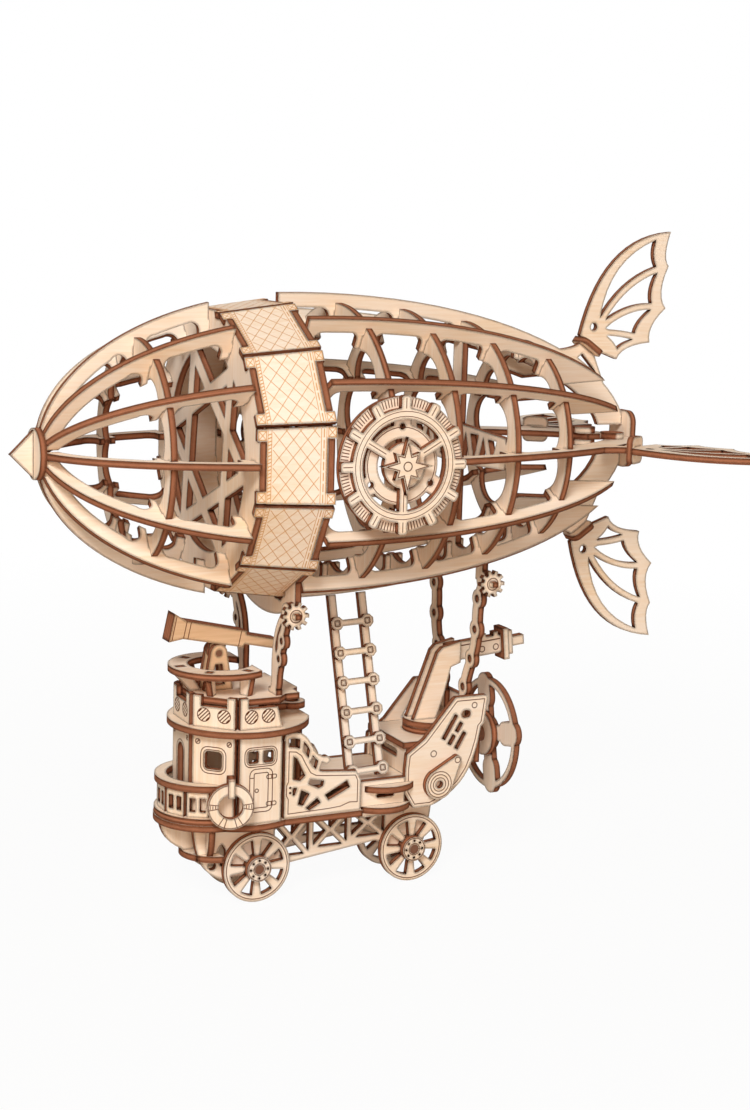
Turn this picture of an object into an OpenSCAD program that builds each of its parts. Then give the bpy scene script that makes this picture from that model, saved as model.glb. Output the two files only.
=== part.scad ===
// Laser-cut plywood airship model: a ribbed hull on struts above a wheeled gondola.
// Nose towards -X, port side towards -Y, floor at z = 0.

/* [Ply sheet] */
// Thickness of every sheet
ply = 2; // [1.6:0.1:2.2]
// Clearance on each side of a slot or seat
slot_gap = 0.05; // [0.02:0.01:0.1]
// Radial clearance of a turning shaft in its hole
run_gap = 0.05; // [0.02:0.01:0.1]

/* [Hull] */
// Largest radius of the hull
hull_r = 46.6; // [44:0.1:50]
// Length of the hull from its widest place to the nose
nose_len = 81; // [78:0.5:84]
// Length of the hull from its widest place to the tail
tail_len = 118; // [116:0.5:121]
// Clear height between the tower's deck and the hull
hull_gap = 26.6; // [25:0.1:32]
// Place of the widest ring along the hull
mid_x = -21.4; // [-23:0.1:-20]
// Depth of a stringer where a rib crosses it
stringer_depth = 10; // [9:0.5:11]
// Depth of a stringer at its thinnest
stringer_waist = 4.6; // [4.2:0.1:5.4]
// Depth of the cut where a rib and a stringer cross
lap_depth = 5.4; // [5.2:0.1:6]
// Place of the nose ring along the hull
front_rib_x = -72.9; // [-75:0.1:-70]
// Place of the first rib behind the band
rib_x0 = -9.2; // [-10:0.1:-8]
// Distance between the ribs behind the band
rib_pitch = 21.7; // [21:0.1:22]
// Depth of a rib's outer edge below the hull's outline
rib_sink = 2.8; // [2.4:0.1:3]
// Depth of a rib where a stringer crosses it
rib_depth = 7.4; // [7:0.1:8]
// Depth of a rib at its thinnest
rib_waist = 4.8; // [4.5:0.1:6]
// Radius of the disc at the nose
nose_disc_r = 7.5; // [7:0.1:9]
// Length of the pointed plate at the nose
nose_point = 6.95; // [6:0.05:8]

/* [Quilted band] */
// Front edge of the band
band_x = -48.5; // [-49.5:0.1:-48]
// Length of the band along the hull
band_len = 17.5; // [17:0.1:18.4]
// Depth of the band's inner faces below the hull's outline
band_sink = 4.5; // [4:0.1:5]
// Width of a corner tab
tab_w = 3.4; // [3:0.1:4]
// Length of a corner tab past the band's edge
tab_len = 2.8; // [2.6:0.1:3.2]

/* [Medallions] */
// Radius over the handles of the ship's wheel
helm_tip_r = 20; // [19:0.1:20.5]
// Outer radius of the wheel's ring
helm_ring_r = 16.4; // [15:0.1:17]
// Inner radius of the wheel's ring
helm_ring_in = 13.2; // [12:0.1:14]
// Radius of the dial behind the wheel
dial_r = 19.6; // [18:0.1:19.8]
// Depth of the dial's back face below the hull's outline
dial_sink = 1.95; // [1.6:0.05:2.2]

/* [Fins] */
// Distance of a fin's root before the tail
fin_back = 13.55; // [12:0.05:15]
// Height of a fin's root above the hull's outline
fin_rise = 8.1; // [7.5:0.1:9]
// Lean of a fin towards the tail
fin_tilt = 34.5; // [32:0.5:37]
// Radius of the eye near a fin's root
fin_eye_r = 1.2; // [1:0.1:1.4]

/* [Wheels] */
// Radius of a wheel
wheel_r = 11; // [10.4:0.1:11.2]
// Distance of a wheel's outer face from the middle plane
wheel_y = 9.4; // [9.4:0.1:10]
// Place of the front axle
front_axle_x = -35.7; // [-36.2:0.1:-35.2]
// Place of the rear axle
rear_axle_x = 17.7; // [17.2:0.1:18.2]
// Radius of an axle
axle_r = 1.5; // [1.3:0.1:1.7]

/* [Tower] */
// Place of the tower's middle
tower_x = -39; // [-39.4:0.1:-38.6]
// Distance of a tower wall's outer face from the middle
tower_a = 18.6; // [18.3:0.1:18.8]
// Underside of the base deck
deck_z = 26.2; // [25.8:0.1:26.6]
// Underside of the ring between the two storeys
storey_z = 55.6; // [54.6:0.1:56.4]
// Underside of the deck on top of the tower
top_z = 64.5; // [63.5:0.1:65.5]
// Underside of the lookout ring
lookout_z = 72.2; // [71.6:0.1:72.4]
// Radius of the ring between the two storeys
storey_r = 21.8; // [21.2:0.1:22.6]
// Radius of the lookout ring
lookout_r = 15.8; // [15.4:0.1:16.2]
// Place of the lookout ring's middle
lookout_x = -45.3; // [-45.6:0.1:-45]

/* [Bow] */
// Place of the middle of the round bow
bow_x = -48.8; // [-49.2:0.1:-48.4]
// Radius of the base deck at the bow
bow_r = 16.5; // [16.2:0.1:17]
// Radius of the lowest bow plate
foot_r = 11.2; // [11:0.1:11.6]
// Underside of the balcony rail
rail_z = 38.4; // [37.6:0.1:39]
// Radius of the balcony rail
rail_r = 16.2; // [16:0.1:16.6]

/* [Gondola sides] */
// Distance of the lattice sides' outer faces from the middle plane
side_y = 17; // [16.8:0.1:17.4]
// Distance of the stern panels' outer faces from the middle plane
stern_y = 14.9; // [14.5:0.1:15]
// Underside of the floor amidships
floor_z = 34.5; // [34:0.1:35]
// Underside of the gun platform
platform_z = 45; // [44.5:0.1:45.5]

/* [Gun] */
// Place of the gun's turning axis
gun_x = 27.5; // [27:0.1:28]
// Radius of the gun's turntable
table_r = 8.6; // [8.2:0.1:9]
// Height of the barrel's middle line
barrel_z = 71.2; // [70.6:0.1:72]
// Upward tilt of the barrel
barrel_tilt = 5.5; // [4:0.5:7]

/* [Telescope] */
// Height of the telescope's pivot
scope_z = 78; // [77.6:0.1:78.6]
// Place of the telescope's pivot
scope_x = -46.8; // [-47.2:0.1:-46.4]
// Tilt of the telescope at rest
scope_tilt = 12; // [9:0.5:13]

/* [Propeller] */
// Place of the propeller along the hull
prop_x = 50; // [49:0.1:51]
// Height of the propeller's shaft
prop_z = 43.6; // [43:0.1:44]
// Outer radius of the propeller's ring
prop_ring_r = 18.2; // [17.6:0.1:18.8]
// Radius over the blades
prop_tip_r = 19.8; // [19.4:0.1:20.6]
// Number of blades
prop_blades = 4; // [3:1:4]

/* [Struts and ladder] */
// Distance of a front strut's foot from the middle plane
strut_foot_y = 12.2; // [11.8:0.1:12.4]
// Distance of a front strut's head from the middle plane
strut_head_y = 21; // [20.4:0.1:21.4]
// Distance between the ladder's rails
ladder_w = 10.3; // [9.8:0.1:11]
// Number of rungs
rungs = 6; // [5:1:6]
// Lean of the ladder towards the port side
ladder_lean = 13; // [12:0.5:13]

/* [Hidden] */
$fn = 48;
birch = "#E4C49C";
light_birch = "#EBD0AC";
shade_birch = "#CFA67C";
burnt = "#8A5A3C";

// Counts of the hull
stringers = 12;
step = 360 / stringers;
curve_steps = 22;

// Places along the hull
hull_z = top_z + ply + hull_gap + hull_r;
core_r = 4.6;
nose_x = mid_x - nose_len * sqrt(1 - pow((nose_disc_r - 0.1) / hull_r, 2));
tail_r = 7.8;
tail_x = mid_x + tail_len * sqrt(1 - pow(tail_r / hull_r, 2));
band_end = band_x + band_len;
band_in_front = hull_at(band_x) - band_sink;
band_in_rear = hull_at(band_end) - band_sink;
band_tilt = atan((band_in_rear - band_in_front) / band_len);
half_step = step / 2;
front_wall_x = band_x - ply * sin(band_tilt) - slot_gap - ply;
rear_wall_x = band_end + slot_gap;
front_end_x = front_wall_x - slot_gap;
rear_start_x = rear_wall_x + ply + slot_gap;
side_start_x = rib_x(1) - ply;
tip_x = tail_x - 14.95;
rib_count = 4;
fin_x = tail_x - fin_back;
fin_root_r = hull_at(fin_x) + fin_rise;
dial_y = hull_at(rib_x0) - dial_sink;

// Levels of the gondola
deck_top = deck_z + ply;
storey_top = storey_z + ply;
top_deck_z = top_z + ply;
lookout_top = lookout_z + ply;
floor_top = floor_z + ply;
platform_top = platform_z + ply;
wheel_in = wheel_y - ply;
keel_out = wheel_in - 0.4;
keel_y = keel_out - ply / 2;
stern_x1 = 11.8;

function rib_x(i) = rib_x0 + i * rib_pitch;

// Radius of the hull's outline at x, drawn in by inset
function hull_at(x, inset = 0) =
  let (a = (x < mid_x ? nose_len : tail_len) - inset,
       q = 1 - pow((x - mid_x) / a, 2))
  q > 0 ? (hull_r - inset) * sqrt(q) : 0;

// Point of the outline at angle t from the widest place: 0 is the end of the hull
function front_point(t, inset) =
  [mid_x - (nose_len - inset) * cos(t), (hull_r - inset) * sin(t)];
function rear_point(t, inset) =
  [mid_x + (tail_len - inset) * cos(t), (hull_r - inset) * sin(t)];
function front_angle(x, inset) = acos((mid_x - x) / (nose_len - inset));
function rear_angle(x, inset) = acos((x - mid_x) / (tail_len - inset));

// Points of a quadratic curve
function bow_curve(a, b, c, n = 8) =
  [for (i = [0:n]) let (t = i / n) (1 - t) * (1 - t) * a + 2 * t * (1 - t) * b + t * t * c];

// A sheet drawn in X and Z with its middle at y
module sheet_xz(y) {
  translate([0, y, 0]) rotate([90, 0, 0]) linear_extrude(ply, center = true) children();
}

// A sheet drawn in Y and Z with its front face at x
module sheet_yz(x) {
  translate([x, 0, 0]) rotate([90, 0, 90]) linear_extrude(ply) children();
}

// A sheet drawn in X and Y with its underside at z
module sheet_xy(z) {
  translate([0, 0, z]) linear_extrude(ply) children();
}

// A rectangle with round corners
module round_rect(w, h, r) {
  translate([-w / 2 + r, -h / 2]) square([w - 2 * r, h]);
  translate([-w / 2, -h / 2 + r]) square([w, h - 2 * r]);
  for (i = [-1, 1], j = [-1, 1]) translate([i * (w / 2 - r), j * (h / 2 - r)]) circle(r);
}

// A lens between two arcs, w wide and h long
module lens(w, h) {
  r = (h * h / 4 + w * w / 4) / w;
  intersection() {
    translate([r - w / 2, 0]) circle(r);
    translate([w / 2 - r, 0]) circle(r);
  }
}

module both_sides() {
  children();
  mirror([0, 1, 0]) children();
}

// Turned about the hull's axis
module about_hull(angle) {
  translate([0, 0, hull_z]) rotate([angle, 0, 0]) children();
}

// Hull

// Length of the deep part of a stringer beside a rib, and the round of an opening's corner
shoulder = 3;
bay_corner = 2.4;

// Cut on the inner side of a stringer at a rib
module rib_notch(x) {
  r = hull_at(x) - lap_depth + slot_gap;
  translate([x - ply / 2 - slot_gap, r - 2 * stringer_depth]) square([ply + 2 * slot_gap, 2 * stringer_depth]);
}

// Opening with round corners that thins a stringer between two places
module bay_cut(x1, x2) {
  n = 5;
  span = x2 - x1 - 2 * bay_corner;
  edge = [for (i = [0:n]) let (x = x1 + bay_corner + span * i / n) [x, hull_at(x) - stringer_waist]];
  low = edge[n] - [0, bay_corner];
  high = edge[0] - [0, bay_corner];
  polygon(concat(edge, [[low[0], 0], [high[0], 0]]));
  polygon([[x1, 0], [x1, high[1]], [x2, low[1]], [x2, 0]]);
  translate(low) circle(bay_corner);
  translate(high) circle(bay_corner);
}

// The same between the nose and the first rib
module nose_cut(x2) {
  n = 12;
  x1 = x2 - bay_corner;
  t0 = asin(core_r / (hull_r - stringer_waist));
  t1 = front_angle(x1, stringer_waist);
  edge = [for (i = [0:n]) front_point(t0 + (t1 - t0) * i / n, stringer_waist)];
  high = edge[n] - [0, bay_corner];
  polygon(concat(edge, [[x1, 0], [edge[0][0], 0]]));
  polygon([[x1 - 1, 0], [x1 - 1, high[1]], [x2, high[1]], [x2, 0]]);
  translate(high) circle(bay_corner);
}

module front_stringer_2d() {
  t0 = asin((nose_disc_r - 0.1) / hull_r);
  t1 = front_angle(front_end_x, 0);
  s0 = asin(core_r / (hull_r - stringer_depth));
  s1 = front_angle(front_end_x, stringer_depth);
  outer = [for (i = [0:curve_steps]) front_point(t0 + (t1 - t0) * i / curve_steps, 0)];
  inner = [for (i = [0:curve_steps]) front_point(s1 + (s0 - s1) * i / curve_steps, stringer_depth)];
  difference() {
    union() {
      polygon(concat(outer, inner, [[nose_x, core_r]]));
      translate([front_end_x - 1, tenon_r(front_wall_x)]) square([ply + 1, tenon_h]);
    }
    rib_notch(front_rib_x);
    nose_cut(front_rib_x - shoulder);
    bay_cut(front_rib_x + shoulder, front_end_x - shoulder);
  }
}

// Tenons that hold the stringers in the two walls of the band
tenon_h = 3.4;
function tenon_r(x) = hull_at(x) - stringer_depth + 1.6;

module rear_stringer_2d(x1, x2, pointed) {
  t1 = rear_angle(x1, 0);
  t2 = rear_angle(x2, 0);
  xi = pointed ? rib_x(3) + 8 : mid_x + (tail_len - stringer_depth)
    * sqrt(1 - pow(core_r / (hull_r - stringer_depth), 2));
  s1 = rear_angle(x1, stringer_depth);
  s2 = rear_angle(xi, stringer_depth);
  outer = [for (i = [0:curve_steps]) rear_point(t1 + (t2 - t1) * i / curve_steps, 0)];
  inner = [for (i = [0:curve_steps]) rear_point(s2 + (s1 - s2) * i / curve_steps, stringer_depth)];
  corner = pointed ? [] : [[x2, core_r]];
  difference() {
    polygon(concat(outer, corner, inner));
    for (i = [0:rib_count - 1]) rib_notch(rib_x(i));
    for (i = [0:rib_count - 2]) bay_cut(rib_x(i) + shoulder, rib_x(i + 1) - shoulder);
    bay_cut(rear_start_x + shoulder, rib_x(0) - shoulder);
  }
}

// Tongue of a stringer in the rear wall of the band
module rear_tenon_2d() {
  translate([rear_start_x - ply, tenon_r(rear_wall_x)]) square([ply + 1, tenon_h]);
}

module front_stringers() color(light_birch) {
  for (k = [0:stringers - 1]) about_hull(k * step) sheet_xz(0) front_stringer_2d();
}

module rear_stringers() color(light_birch) {
  for (k = [0:stringers - 1]) if (k % 3 != 0) about_hull(k * step) sheet_xz(0) {
    rear_stringer_2d(rear_start_x, tip_x, true);
    rear_tenon_2d();
  }
}

// Bracket on a stringer that carries a fin
module fin_arm_2d() {
  n = [sin(fin_tilt), cos(fin_tilt)];
  u = [cos(fin_tilt), -sin(fin_tilt)];
  root = [fin_x, fin_root_r] - (ply + slot_gap) * n;
  x1 = fin_x - 13;
  x2 = fin_x + 6.5;
  difference() {
    polygon(concat(bow_curve([x1, hull_at(x1) - 1], [fin_x - 6, hull_at(fin_x - 6) + 3], root - 3.4 * u),
                   [root + 3.4 * u, [x2, hull_at(x2) - 1]]));
    polygon([root - 2.2 * n - 0.6 * u, [fin_x - 4.5, hull_at(fin_x - 4.5) + 0.8],
             [fin_x + 3, hull_at(fin_x + 3) + 0.8]]);
  }
}

module fin_stringers() color(light_birch) {
  for (a = [0, 180]) about_hull(a) sheet_xz(0) {
    rear_stringer_2d(rear_start_x, tail_x, false);
    rear_tenon_2d();
    fin_arm_2d();
  }
  for (a = [90, 270]) about_hull(a) sheet_xz(0) {
    difference() {
      rear_stringer_2d(rear_start_x, tail_x, false);
      translate([rear_start_x - 1, 0]) square([side_start_x - rear_start_x + 1, hull_r + 1]);
    }
    fin_arm_2d();
  }
}

// Ring with a wavy inner edge and a slot for each stringer
module rib_2d(x, slots = stringers) {
  r = hull_at(x) - rib_sink;
  bite = 0.235 * r;
  difference() {
    circle(r);
    circle(r - rib_depth);
    for (k = [0:stringers - 1]) rotate((k + 0.5) * step) {
      translate([r - rib_waist - bite, 0]) circle(bite);
    }
    for (k = [0:slots - 1]) rotate(k * 360 / slots) {
      translate([hull_at(x) - lap_depth, -ply / 2 - slot_gap]) square([lap_depth + 1, ply + 2 * slot_gap]);
    }
  }
}

module rib_sheet(x) {
  translate([0, 0, hull_z]) sheet_yz(x - ply / 2) children();
}

module front_rib() color(birch) rib_sheet(front_rib_x) rib_2d(front_rib_x);

// The first rib has a flat seat on both sides for the dials
module rib_1() color(birch) rib_sheet(rib_x(0)) {
  seat_h = 26;
  seat_in = hull_at(rib_x(0)) - rib_sink - 3;
  rib_2d(rib_x(0));
  for (j = [-1, 1]) translate([j > 0 ? seat_in : -dial_y + slot_gap, -seat_h / 2]) {
    square([dial_y - slot_gap - seat_in, seat_h]);
  }
}

module rib_2() color(birch) rib_sheet(rib_x(1)) rib_2d(rib_x(1));

// The third rib has a cross of bars, the level one with triangular openings
module rib_3() color(birch) rib_sheet(rib_x(2)) {
  r = hull_at(rib_x(2)) - rib_sink - rib_depth + 1;
  mid_h = 6.5;
  end_h = 4.8;
  bar_w = 6;
  rib_2d(rib_x(2));
  difference() {
    polygon([[-r, -end_h], [0, -mid_h], [r, -end_h], [r, end_h], [0, mid_h], [-r, end_h]]);
    for (i = [-1, 1], k = [0:3]) translate([i * (7 + 5.6 * k), 0]) {
      h = 4.3 - 0.35 * k;
      flip = (k % 2 == 0) ? 1 : -1;
      polygon([[-2.6, -flip * h], [2.6, -flip * h], [0, flip * h]]);
    }
  }
  difference() {
    square([bar_w, 2 * r], center = true);
    square([bar_w - 3, 2 * mid_h - 4], center = true);
  }
}

module rib_4() color(birch) rib_sheet(rib_x(3)) rib_2d(rib_x(3));

// Outline of a wall under the band, with pockets for the corner tabs
module wall_2d(low, high) {
  half = low * tan(half_step);
  difference() {
    union() {
      rotate(half_step) circle(high / cos(half_step), $fn = stringers);
      children();
    }
    for (k = [0:stringers - 1], j = [-1, 1]) rotate(k * step) {
      translate([low, j > 0 ? half - tab_w - 2 * slot_gap : -half - 1.5])
        square([high - low + 0.7, tab_w + 2 * slot_gap + 1.5]);
    }
  }
}

// Slots in a wall for the stringers' tenons
module tenon_slots(x) {
  for (k = [0:stringers - 1]) rotate(k * step) {
    translate([tenon_r(x) - slot_gap, -ply / 2 - slot_gap]) square([tenon_h + 2 * slot_gap, ply + 2 * slot_gap]);
  }
}

front_low = band_in_front - (band_x - front_wall_x) * tan(band_tilt) - slot_gap;
rear_low = band_in_rear - slot_gap;

// The nose side of the band is closed by a lattice of crossing bars
module front_bulkhead() color(birch) translate([0, 0, hull_z]) sheet_yz(front_wall_x) {
  bar_w = 4.6;
  ring_in = band_in_front - 9;
  difference() {
    wall_2d(front_low, band_in_front + ply);
    circle(ring_in);
    tenon_slots(front_wall_x);
  }
  intersection() {
    circle(ring_in + 1);
    union() {
      for (k = [0:5]) rotate(k * 60 + 8) translate([ring_in / 2 - bar_w / 2, -ring_in]) {
        square([bar_w, 2 * ring_in]);
      }
    }
  }
}

// The tail side has a round lug below that carries the front struts
module rear_bulkhead() color(birch) translate([0, 0, hull_z]) sheet_yz(rear_wall_x) {
  lug_r = hull_r + 3.6;
  lug_w = 2 * strut_head_y + 4;
  difference() {
    wall_2d(rear_low, band_in_rear + ply) intersection() {
      circle(lug_r);
      translate([-lug_w / 2, -lug_r]) square([lug_w, 14]);
    }
    circle(rear_low - 9);
    tenon_slots(rear_wall_x);
  }
}

// Flat panel of the band with a tab at each corner
module band_panel_2d() {
  len = band_len / cos(band_tilt);
  w1 = band_in_front * tan(half_step) - slot_gap;
  w2 = band_in_rear * tan(half_step) - slot_gap;
  w0 = (band_in_front - tab_len * sin(band_tilt)) * tan(half_step) - slot_gap;
  polygon([[0, -w1], [len, -w2], [len, w2], [0, w1]]);
  for (j = [-1, 1]) {
    translate([-tab_len, j > 0 ? w0 - tab_w : -w0]) square([tab_len + 0.5, tab_w]);
    translate([len - 0.5, j > 0 ? w2 - tab_w : -w2]) square([tab_len + 0.5, tab_w]);
  }
}

module band_panels() color(light_birch) {
  for (k = [0:stringers - 1]) about_hull(k * step) {
    translate([band_x, 0, band_in_front]) rotate([0, -band_tilt, 0]) linear_extrude(ply) band_panel_2d();
  }
}

module nose_plate() color(light_birch) translate([0, 0, hull_z]) sheet_xz(0) {
  x0 = nose_x - ply - slot_gap;
  h = nose_disc_r - 0.6;
  polygon([[x0, -h], [x0, h], [x0 - nose_point + 0.6, 0.5], [x0 - nose_point, 0],
           [x0 - nose_point + 0.6, -0.5]]);
}

// A disc at the nose and a round-cornered plate at the tail
module end_discs() color(birch) {
  translate([0, 0, hull_z]) sheet_yz(nose_x - ply) circle(nose_disc_r);
  translate([0, 0, hull_z]) sheet_yz(tail_x + slot_gap) round_rect(12.6, 18.6, 4);
}

// Fins

// Tips of a fin's bones, from the leading edge down
fin_hub = [-0.5, 4];
fin_tips = [[3.2, 46.5], [9.4, 37.2], [16.9, 25.7], [18.6, 13.3], [11.3, 1.7]];
fin_bend = [[-15, 26.4], [-3.5, 24], [3.5, 20], [9.5, 11.5], [8, 6]];
// How far along each bone the openings beside it run, and where each opening begins
bone_reach = [0.88, 0.87, 0.8, 0.66, 0.72];
window_start = [0.1, 0.14, 0.14, 0.22];
bone_w = 2.1;
root_half = 4.9;

function bone_at(k, s) = (1 - s) * (1 - s) * fin_hub + 2 * s * (1 - s) * fin_bend[k] + s * s * fin_tips[k];
function bone_dir(k, s) =
  let (d = (1 - s) * (fin_bend[k] - fin_hub) + s * (fin_tips[k] - fin_bend[k])) d / norm(d);
function bone_side(k, s, w) = bone_at(k, s) + w * [bone_dir(k, s)[1], -bone_dir(k, s)[0]];

// Opening between two bones, hollowed towards the trailing edge
module fin_window(k) {
  s0 = window_start[k];
  steps = 8;
  front = [for (i = [1:steps]) bone_side(k, s0 + (bone_reach[k] - s0) * i / steps, bone_w / 2)];
  rear = [for (i = [steps:-1:1]) bone_side(k + 1, s0 + (bone_reach[k + 1] - s0) * i / steps, -bone_w / 2)];
  inner = (bone_side(k, s0, bone_w / 2) + bone_side(k + 1, s0, -bone_w / 2)) / 2;
  a = front[steps - 1];
  b = rear[0];
  dent = (a + b) / 2 - 0.24 * norm(a - b) * bone_dir(k, bone_reach[k]);
  outer = bow_curve(a, dent, b, 6);
  polygon(concat([inner], front, [for (i = [1:5]) outer[i]], rear));
}

// Bat-wing outline with scalloped trailing edge
module fin_2d() {
  lead = bow_curve([-root_half, 0], [-16.6, 30], fin_tips[0], 14);
  trail = [for (k = [0:3]) let (a = fin_tips[k], b = fin_tips[k + 1], m = (a + b) / 2,
             d = (m - fin_hub) / norm(m - fin_hub))
             each [for (p = bow_curve(a, m - 0.36 * norm(a - b) * d, b, 6)) p]];
  difference() {
    union() {
      polygon(concat(lead, trail, [[root_half, 0]]));
      translate([-2.5, -ply]) square([5, ply + 1]);
    }
    for (k = [0:3]) fin_window(k);
    translate([-2.3, 5.1]) circle(fin_eye_r);
  }
}

// Frame of a fin's root: X along the hull's surface, Z away from it
module at_fin(angle) {
  about_hull(angle) translate([fin_x, 0, fin_root_r]) rotate([0, fin_tilt, 0]) children();
}

module vertical_fins() color(light_birch) for (a = [0, 180]) at_fin(a) sheet_xz(0) fin_2d();
module horizontal_fins() color(light_birch) for (a = [90, 270]) at_fin(a) sheet_xz(0) fin_2d();

// A collar round each fin's root and washers on the two level stringers
module fin_fittings() color(birch) {
  for (a = [0:90:270]) at_fin(a) translate([0, 0, -ply + slot_gap / 2]) linear_extrude(ply - slot_gap) {
    difference() {
      round_rect(8.6, 8.6, 2);
      square([5 + 2 * slot_gap, ply + 2 * slot_gap], center = true);
    }
  }
  for (j = [-1, 1], i = [0, 1]) {
    translate([fin_x + 5, j * 8.5, hull_z + (i == 0 ? ply / 2 + slot_gap : -1.5 * ply - slot_gap)]) {
      linear_extrude(ply) circle(3.8);
    }
  }
}

// Medallions

// Drawn round the medallion's middle, facing out on both sides of the hull
module on_flanks(y) {
  both_sides() translate([rib_x(0), -y - ply / 2, hull_z]) rotate([90, 0, 0]) {
    linear_extrude(ply, center = true) children();
  }
}

dial_in = 14;
boss_ring_r = 11.6;

module dials() color(birch) on_flanks(dial_y) {
  difference() {
    union() {
      difference() {
        circle(dial_r);
        circle(dial_in);
      }
      circle(boss_ring_r);
      for (a = [90, 210, 330]) rotate(a) translate([8, -2.8]) square([dial_in - 7, 5.6]);
    }
    circle(7.6);
    for (a = [90, 210, 330]) rotate(a) translate([11, 0]) circle(0.9);
  }
}

module helms() color(light_birch) on_flanks(dial_y + ply + slot_gap) {
  handle_w = 3;
  difference() {
    circle(helm_ring_r);
    circle(helm_ring_in);
  }
  for (k = [0:11]) rotate(k * 30) {
    translate([helm_ring_r - 1, -handle_w / 2]) square([helm_tip_r - helm_ring_r + 0.3, handle_w]);
    translate([helm_tip_r - 0.9, -0.6]) square([0.9, 1.2]);
    for (j = [-1, 1]) translate([helm_tip_r - 0.9, j * 0.6]) circle(0.9);
  }
  for (a = [30, 150, 270]) rotate(a) translate([0, -1.3]) square([helm_ring_in + 1, 2.6]);
  circle(6.6);
}

// An eight-pointed star on the wheel's hub
module helm_bosses() color(birch) on_flanks(dial_y + 2 * (ply + slot_gap)) {
  polygon([for (i = [0:15]) let (r = i % 4 == 0 ? 8.4 : (i % 2 == 0 ? 5.6 : 3.4))
    [r * cos(i * 22.5 + 90), r * sin(i * 22.5 + 90)]]);
}

// Struts

// Wavy post: a chain of round lobes with a hole in each, drawn in Y and Z
module strut_2d(foot, head, lobes) {
  n = len(lobes) - 1;
  neck = 1.9;
  wave = 1.1;
  hole = 1.2;
  function at(s) = let (p = foot + s * (head - foot)) [p[0] + wave * sin(s * 540), p[1]];
  line = [for (i = [0:24]) at(i / 24)];
  difference() {
    union() {
      polygon(concat([for (p = line) p - [neck, 0]], [for (i = [24:-1:0]) line[i] + [neck, 0]]));
      for (i = [0:n]) translate(at((i + 0.6) / (n + 1.2))) circle(lobes[i]);
    }
    for (i = [0:n]) translate(at((i + 0.6) / (n + 1.2))) circle(hole);
  }
}

front_strut_x = rear_wall_x - slot_gap - ply;
rear_strut_x = rib_x(2) + ply / 2 + slot_gap;
gear_z_front = hull_z - hull_r - 0.1;
gear_z_rear = hull_z - hull_at(rib_x(2)) - 0.6;
peg = 1.6;
gear_gap_y = 0.15;
rear_lobes = [2.9, 3, 3.1, 3];
head_r = 3.2;

// Outline with its corners cut twice, which rounds it
function cut_corners(p) = [for (i = [0:len(p) - 1]) let (a = p[i], b = p[(i + 1) % len(p)])
  each [0.75 * a + 0.25 * b, 0.25 * a + 0.75 * b]];
function soft(p) = cut_corners(cut_corners(p));

// Bowed post with two pierced lobes on its outer side; points are shares of the way from foot to head
module front_strut_2d() {
  inner_edge = [[-0.25, 0.03], [-0.14, 0.09], [-0.11, 0.17], [-0.13, 0.38], [-0.06, 0.55], [0.09, 0.74],
    [0.39, 0.9], [0.75, 1.02]];
  outer_edge = [[1.09, 0.94], [0.8, 0.7], [0.76, 0.61], [0.58, 0.49], [0.55, 0.39], [0.39, 0.25], [0.38, 0.15],
    [0.27, 0.03]];
  slot = [[0.21, 0.49], [0.18, 0.56], [0.22, 0.63], [0.32, 0.71], [0.49, 0.8], [0.71, 0.88], [0.58, 0.78],
    [0.43, 0.72], [0.37, 0.66], [0.38, 0.6], [0.34, 0.54]];
  lobes = [[0.45, 0.44], [0.67, 0.66]];
  lobe_r = 2.4;
  lobe_hole = 1;
  foot_half = 3;
  rise = gear_z_front - top_deck_z;
  function at(p) = [strut_foot_y + p[0] * (strut_head_y - strut_foot_y), top_deck_z + p[1] * rise];
  difference() {
    union() {
      polygon(soft([for (p = concat(inner_edge, outer_edge)) at(p)]));
      for (p = lobes) translate(at(p)) circle(lobe_r);
      translate([strut_foot_y - foot_half, top_deck_z + slot_gap]) square([2 * foot_half, 1.6]);
    }
    polygon(soft([for (p = slot) at(p)]));
    for (p = lobes) translate(at(p)) circle(lobe_hole);
  }
}

module front_struts() color(birch) both_sides() sheet_yz(front_strut_x) {
  front_strut_2d();
  translate([strut_head_y, gear_z_front]) circle(head_r);
  translate([strut_head_y + head_r - 1, gear_z_front - peg / 2]) square([2 * ply + 1, peg]);
}

rear_foot_z = 52;
rear_foot_y = 7;
rear_head_y = 17;

module rear_struts() color(birch) both_sides() sheet_yz(rear_strut_x) {
  strut_2d([-rear_foot_y, rear_foot_z + 4], [-rear_head_y, gear_z_rear], rear_lobes);
  translate([-rear_foot_y - 2.6, rear_foot_z]) square([5.2, 6]);
  translate([-rear_head_y, gear_z_rear]) circle(head_r);
  translate([-rear_head_y - 0.3, gear_z_rear]) square([4.3, 9]);
  translate([-rear_head_y - head_r - 2 * ply, gear_z_rear - peg / 2]) square([2 * ply + 1, peg]);
}

// Small toothed wheel pushed onto the peg of a strut
module strut_gear_2d() {
  teeth = 10;
  root_r = 3.1;
  tip_r = 4.2;
  difference() {
    union() {
      circle(root_r);
      for (k = [0:teeth - 1]) rotate(k * 360 / teeth) translate([0, -0.55]) square([tip_r, 1.1]);
    }
    square([ply + 2 * slot_gap, peg + 2 * slot_gap], center = true);
  }
}

module strut_gear(x, y, z) {
  translate([x + ply / 2, 0, z]) sheet_xz(-y - head_r - ply / 2 - gear_gap_y) strut_gear_2d();
}

module strut_gears() color(birch) both_sides() {
  strut_gear(front_strut_x, strut_head_y, gear_z_front);
  strut_gear(rear_strut_x, rear_head_y, gear_z_rear);
}

// Ladder

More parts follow.
